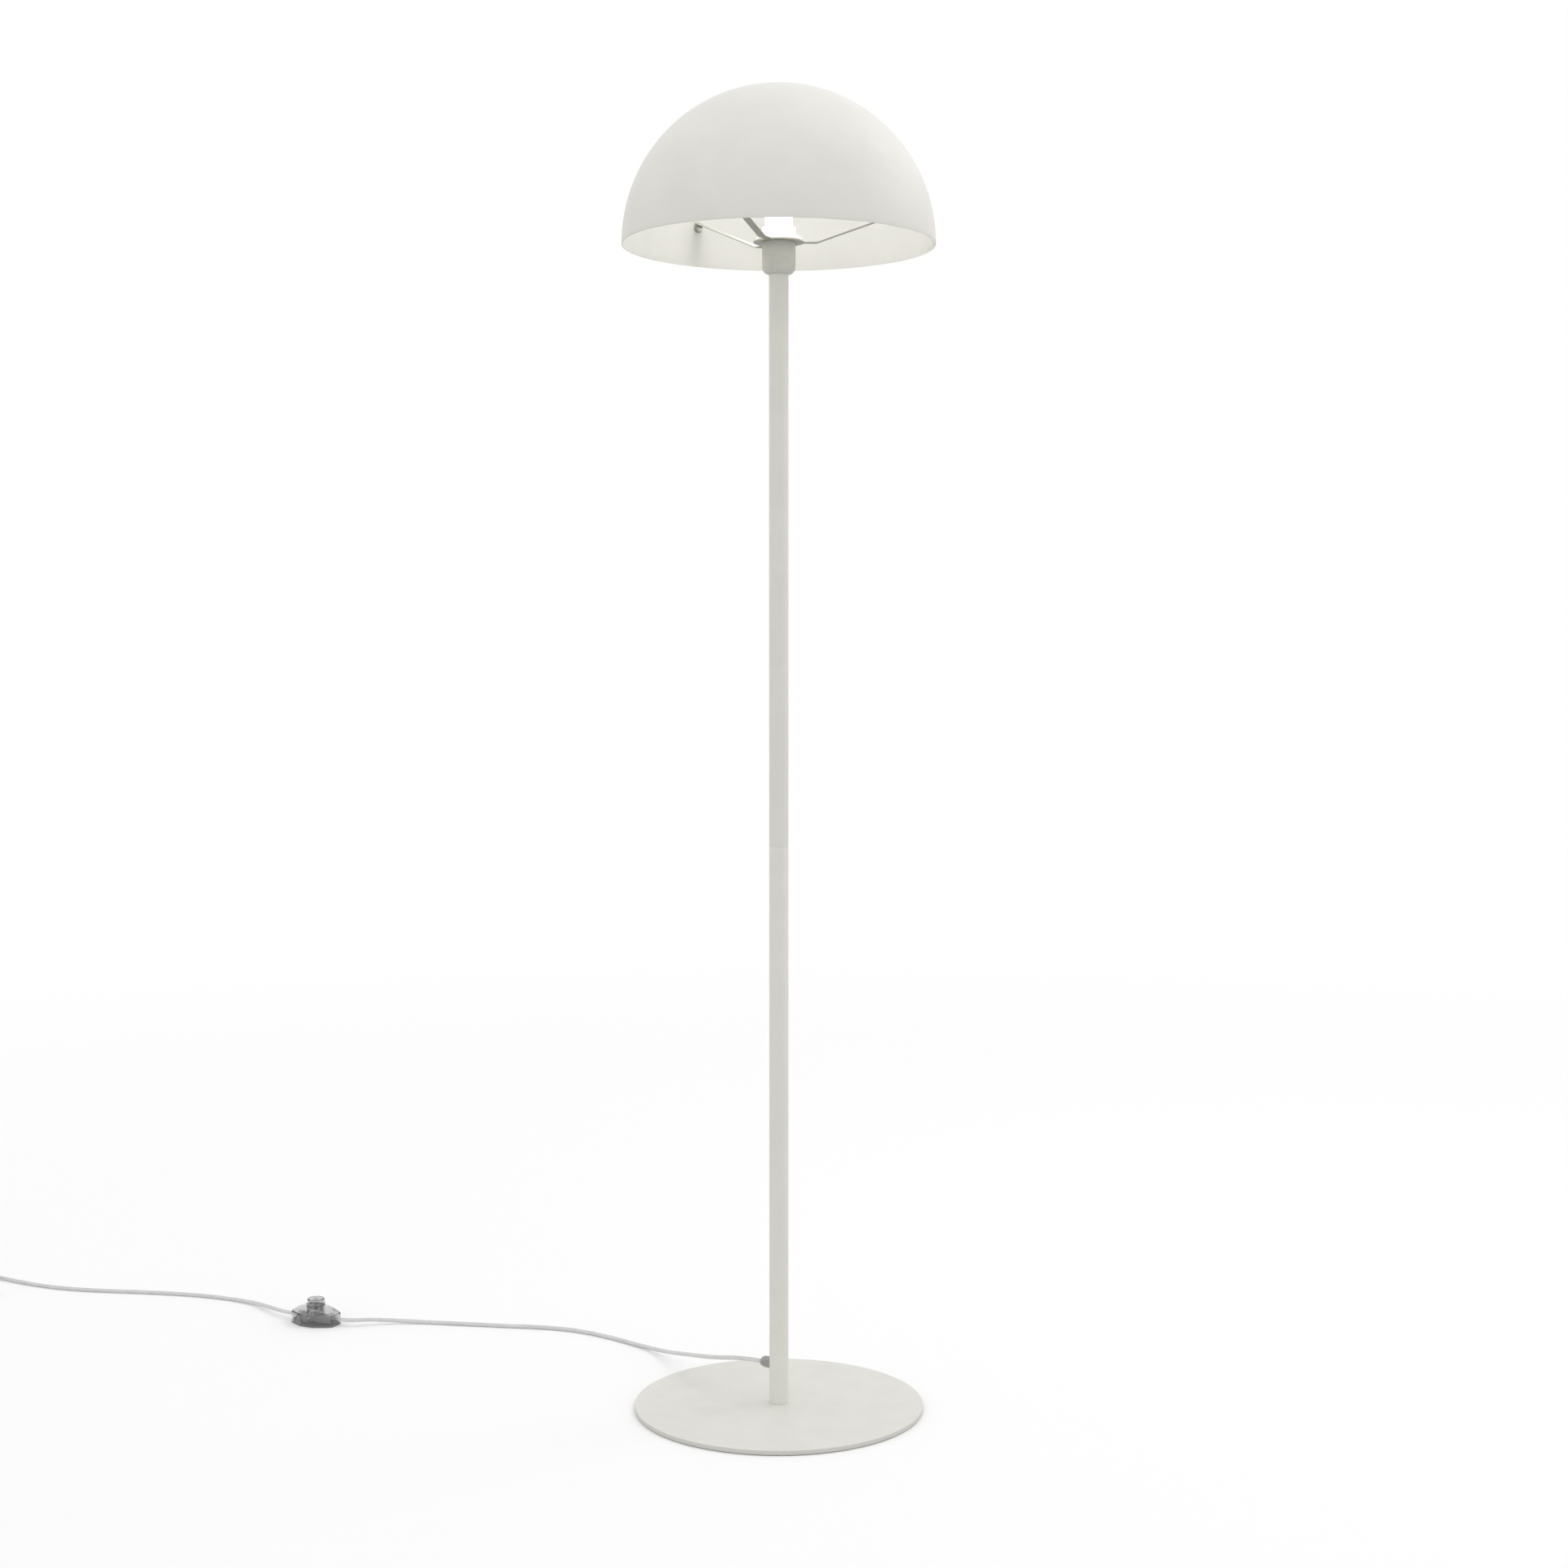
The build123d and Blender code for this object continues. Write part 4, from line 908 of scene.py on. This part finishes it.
# the cover's section at one angle, as (reach, height): up the outside to the collar and down the inside
def coverSection(s, outer, inner, angle):
    def vault(away):
        return vaultHeight(s, away * math.cos(angle), away * math.sin(angle))

    edge, lip = s["edge"], s["lip"]
    section = [(outer, s["seam"]), (outer, s["seam"] + s["footBand"]), (outer, vault(outer) - edge)]
    for i in range(1, s["edgeSteps"] + 1):
        turn = math.pi / 2 * i / s["edgeSteps"]
        away = outer - edge * (1 - math.cos(turn))
        section.append((away, vault(away) - edge * (1 - math.sin(turn))))
    for i in range(1, s["crownSteps"] + 1):
        away = outer - edge + (s["collarRadius"] - outer + edge) * i / s["crownSteps"]
        section.append((away, vault(away)))
    section += [
        (s["collarRadius"], s["collarTop"] - lip), (s["collarRadius"] - lip, s["collarTop"]),
        (s["collarBore"] + lip, s["collarTop"]), (s["collarBore"], s["collarTop"] - lip),
        (s["collarBore"], s["collarLow"]), (s["collarRadius"], s["collarLow"]),
    ]
    for i in range(s["crownSteps"], -1, -1):
        away = inner + (s["collarRadius"] - inner) * i / s["crownSteps"]
        section.append((away, vault(away) - s["wall"]))
    section.append((inner, s["seam"]))
    return section


# two hollow posts under the vault that take the housing's screws
def addBosses(bm, s, place):
    top = vaultHeight(s, 0, s["bossPlace"]) - s["wall"] + s["bossRoot"]
    low = s["seam"] + s["bossGap"]
    for side in (-1, 1):
        spot = place @ Matrix.Translation((0, side * s["bossPlace"] * mm, 0))
        revolve(bm, [
            (s["bossBore"], low), (s["bossRadius"], low), (s["bossRadius"], top), (0, top),
            (0, s["bossDepth"]), (s["bossBore"], s["bossDepth"]),
        ], smallSteps, spot)


# the two holes through which the cords enter
def cutCordHoles(cover, s, place):
    drill = bmesh.new()
    along = place @ Matrix.Translation((0, 0, s["cordHeight"] * mm)) @ Matrix.Rotation(math.pi / 2, 4, "Y")
    for near, far in ((-s["drillFar"], -s["drillNear"]), (s["drillNear"], s["drillFar"])):
        revolve(drill, [(0, near), (s["cordHole"], near), (s["cordHole"], far), (0, far)], smallSteps, along)
    cutWith(cover, drill)


def makeSwitchCover(s, place):
    columns = []
    for k, (outer, inner) in enumerate(zip(switchReach(s, 0), switchReach(s, s["wall"]))):
        angle = turnAngle(s, k)
        c, d = math.cos(angle), math.sin(angle)
        section = coverSection(s, outer, inner, angle)
        columns.append([place @ (Vector((r * c, r * d, z)) * mm) for r, z in section])
    bm = bmesh.new()
    skinRings(bm, zip(*columns), looped=True)
    addBosses(bm, s, place)
    cover = addPiece("switchCover", bm, smokyClear, "switch_cover", smooth=40)
    cutCordHoles(cover, s, place)
    return cover


switchPlace = Matrix.Translation((switchSettings["place"][0] * mm, switchSettings["place"][1] * mm, 0))
switchPlace = switchPlace @ Matrix.Rotation(math.radians(switchSettings["azimuth"]), 4, "Z")
switchCover = makeSwitchCover(switchSettings, switchPlace)

# low and high: the middle of the wire at both ends
# travel: the button's way down and a little more, so that the spring stays clear of it
springSettings = {
    "radius": 4.6, "wire": 0.4, "turns": 4, "low": 16.45, "high": 34.35,
    "turnSteps": 24, "wireSteps": 8, "travel": 3.6,
}


# the button's spring, made at one length; on the switch it shortens as the button goes down
def makeSpring(s, place):
    bm = bmesh.new()
    rings = []
    steps = s["turns"] * s["turnSteps"]
    up = Vector((0, 0, 1))
    for k in range(steps + 1):
        angle = 2 * math.pi * k / s["turnSteps"]
        out = Vector((math.cos(angle), math.sin(angle), 0))
        middle = out * s["radius"] + up * (s["low"] + (s["high"] - s["low"]) * k / steps)
        ring = []
        for i in range(s["wireSteps"]):
            turn = 2 * math.pi * i / s["wireSteps"]
            edge = middle + (out * math.cos(turn) + up * math.sin(turn)) * s["wire"]
            ring.append(place @ (edge * mm))
        rings.append(ring)
    skinRings(bm, rings)
    spring = addPiece("switchSpring", bm, zincSteel, "switch_spring", smooth=60)
    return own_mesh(spring)


switchSpring = makeSpring(springSettings, switchPlace)
print("foot switch made")


# CAD nodes that keep their shape

dressNode(padRubber, "base_pads")
dressNode(zincSteel, "base_screw", "foot_insert", "joint_socket", "joint_stud", "top_insert",
          "threaded_nipple", "nipple_nut", "shade_studs", "switch_screws")
dressNode(glandNylon, "cord_outlet", "outlet_nut")
dressNode(cordPvc, "pole_lead")
dressNode(steatite, "terminal_block")
dressNode(brassStrip, "terminal_screws", "screw_shell", "centre_contact", "switch_contacts")
dressNode(corePvc, "holder_wires", "switch_wires")
dressNode(nickelPlate, "bulb_cap", "bulb_contact", "plug_pins")
dressNode(smokyButton, "switch_button")
dressNode(smokyTray, "switch_base")
dressNode(smokyInsert, "switch_block", "spring_seat", "switch_clamps")
dressNode(nylon, "switch_rotor")
dressNode(tiePvc, "coil_tie")


# Floor, world and lights

studioSettings = {
    "floorSeen": "#f6f6f6",
    "floorBounce": "#c8c8c6",
    "floorSize": 40.0,
    "whiteShare": 0.05,
    "fadeStart": 1.0,
    "fadeEnd": 4.5,
    "skyLow": 0.96,
    "skyTop": 0.05,
    "glowTowards": (0.72, 0.12, 0.68),
    "glowPower": 0.12,
    "glowFocus": 5.0,
    "rimPlace": (2.0, 1.0, 3.1),
    "rimTarget": (0, 0, 1.45),
    "rimSize": 1.0,
    "rimPower": 12.0,
}


# rays that see the white room: the camera's, and those off gloss and through clear plastic
def seenRays(tree):
    path = addNode(tree, "ShaderNodeLightPath")
    first = addNode(
        tree, "ShaderNodeMath", {"operation": "MAXIMUM"},
        {0: path.outputs["Is Camera Ray"], 1: path.outputs["Is Glossy Ray"]},
    )
    both = addNode(
        tree, "ShaderNodeMath", {"operation": "MAXIMUM"},
        {0: first.outputs[0], 1: path.outputs["Is Transmission Ray"]},
    )
    return both.outputs[0]


def addFloor(s):
    bm = bmesh.new()
    bmesh.ops.create_grid(bm, x_segments=1, y_segments=1, size=s["floorSize"])
    mesh = meshFrom("floor", bm)
    addObject("floor", mesh)
    material = bpy.data.materials.new("studioFloor")
    material.use_nodes = True
    tree = material.node_tree
    tree.nodes.clear()
    bounce = addNode(tree, "ShaderNodeBsdfDiffuse", {"Color": toLinear(s["floorBounce"])})
    paint = addNode(tree, "ShaderNodeBsdfDiffuse", {"Color": toLinear(s["floorSeen"])})
    white = addNode(tree, "ShaderNodeEmission", {"Color": (1, 1, 1, 1), "Strength": 1.0})
    coords = addNode(tree, "ShaderNodeTexCoord")
    away = addNode(tree, "ShaderNodeVectorMath", {"operation": "LENGTH"}, {0: coords.outputs["Object"]})
    # far from the lamp the floor runs into the white background
    fade = addNode(
        tree, "ShaderNodeMapRange",
        {"From Min": s["fadeStart"], "From Max": s["fadeEnd"], "To Min": s["whiteShare"], "To Max": 1.0},
        {"Value": away.outputs["Value"]},
    )
    seen = addNode(
        tree, "ShaderNodeMixShader",
        links={0: fade.outputs["Result"], 1: paint.outputs["BSDF"], 2: white.outputs["Emission"]},
    )
    mix = addNode(
        tree, "ShaderNodeMixShader",
        links={0: seenRays(tree), 1: bounce.outputs["BSDF"], 2: seen.outputs["Shader"]},
    )
    addNode(tree, "ShaderNodeOutputMaterial", links={"Surface": mix.outputs["Shader"]})
    mesh.materials.append(material)


# a soft white room: brighter overhead, with one wide glow up on the right
def addWorld(s):
    white = (1, 1, 1, 1)
    world = bpy.data.worlds.new("studio")
    bpy.context.scene.world = world
    world.use_nodes = True
    tree = world.node_tree
    tree.nodes.clear()
    coords = addNode(tree, "ShaderNodeTexCoord")
    way = addNode(tree, "ShaderNodeVectorMath", {"operation": "NORMALIZE"}, {0: coords.outputs["Generated"]})
    height = addNode(tree, "ShaderNodeSeparateXYZ", links={0: way.outputs[0]})
    overhead = addNode(tree, "ShaderNodeMath", {"operation": "MAXIMUM", 1: 0.0}, {0: height.outputs["Z"]})
    sky = addNode(
        tree, "ShaderNodeMath", {"operation": "MULTIPLY_ADD", 1: s["skyTop"], 2: s["skyLow"]},
        {0: overhead.outputs[0]},
    )
    towards = addNode(
        tree, "ShaderNodeVectorMath",
        {"operation": "DOT_PRODUCT", 1: Vector(s["glowTowards"]).normalized()},
        {0: way.outputs[0]},
    )
    facing = addNode(
        tree, "ShaderNodeMath", {"operation": "MAXIMUM", 1: 0.0}, {0: towards.outputs["Value"]},
    )
    narrow = addNode(
        tree, "ShaderNodeMath", {"operation": "POWER", 1: s["glowFocus"]}, {0: facing.outputs[0]},
    )
    total = addNode(
        tree, "ShaderNodeMath", {"operation": "MULTIPLY_ADD", 1: s["glowPower"]},
        {0: narrow.outputs[0], 2: sky.outputs[0]},
    )
    light = addNode(tree, "ShaderNodeBackground", {"Color": white}, {"Strength": total.outputs[0]})
    room = addNode(tree, "ShaderNodeBackground", {"Color": white, "Strength": 1.0})
    mix = addNode(
        tree, "ShaderNodeMixShader",
        links={0: seenRays(tree), 1: light.outputs["Background"], 2: room.outputs["Background"]},
    )
    addNode(tree, "ShaderNodeOutputWorld", links={"Surface": mix.outputs["Shader"]})


# a softbox behind the lamp on the right, for the bright edge of the dome and the pole
def addSoftbox(s):
    data = bpy.data.lights.new("rimLight", "AREA")
    data.size = s["rimSize"]
    data.energy = s["rimPower"]
    box = addObject("rimLight", data)
    box.location = s["rimPlace"]
    towards = Vector(s["rimTarget"]) - Vector(s["rimPlace"])
    box.rotation_euler = towards.to_track_quat("-Z", "Y").to_euler()
    box.visible_camera = False


addFloor(studioSettings)
addWorld(studioSettings)
addSoftbox(studioSettings)
print("studio set")
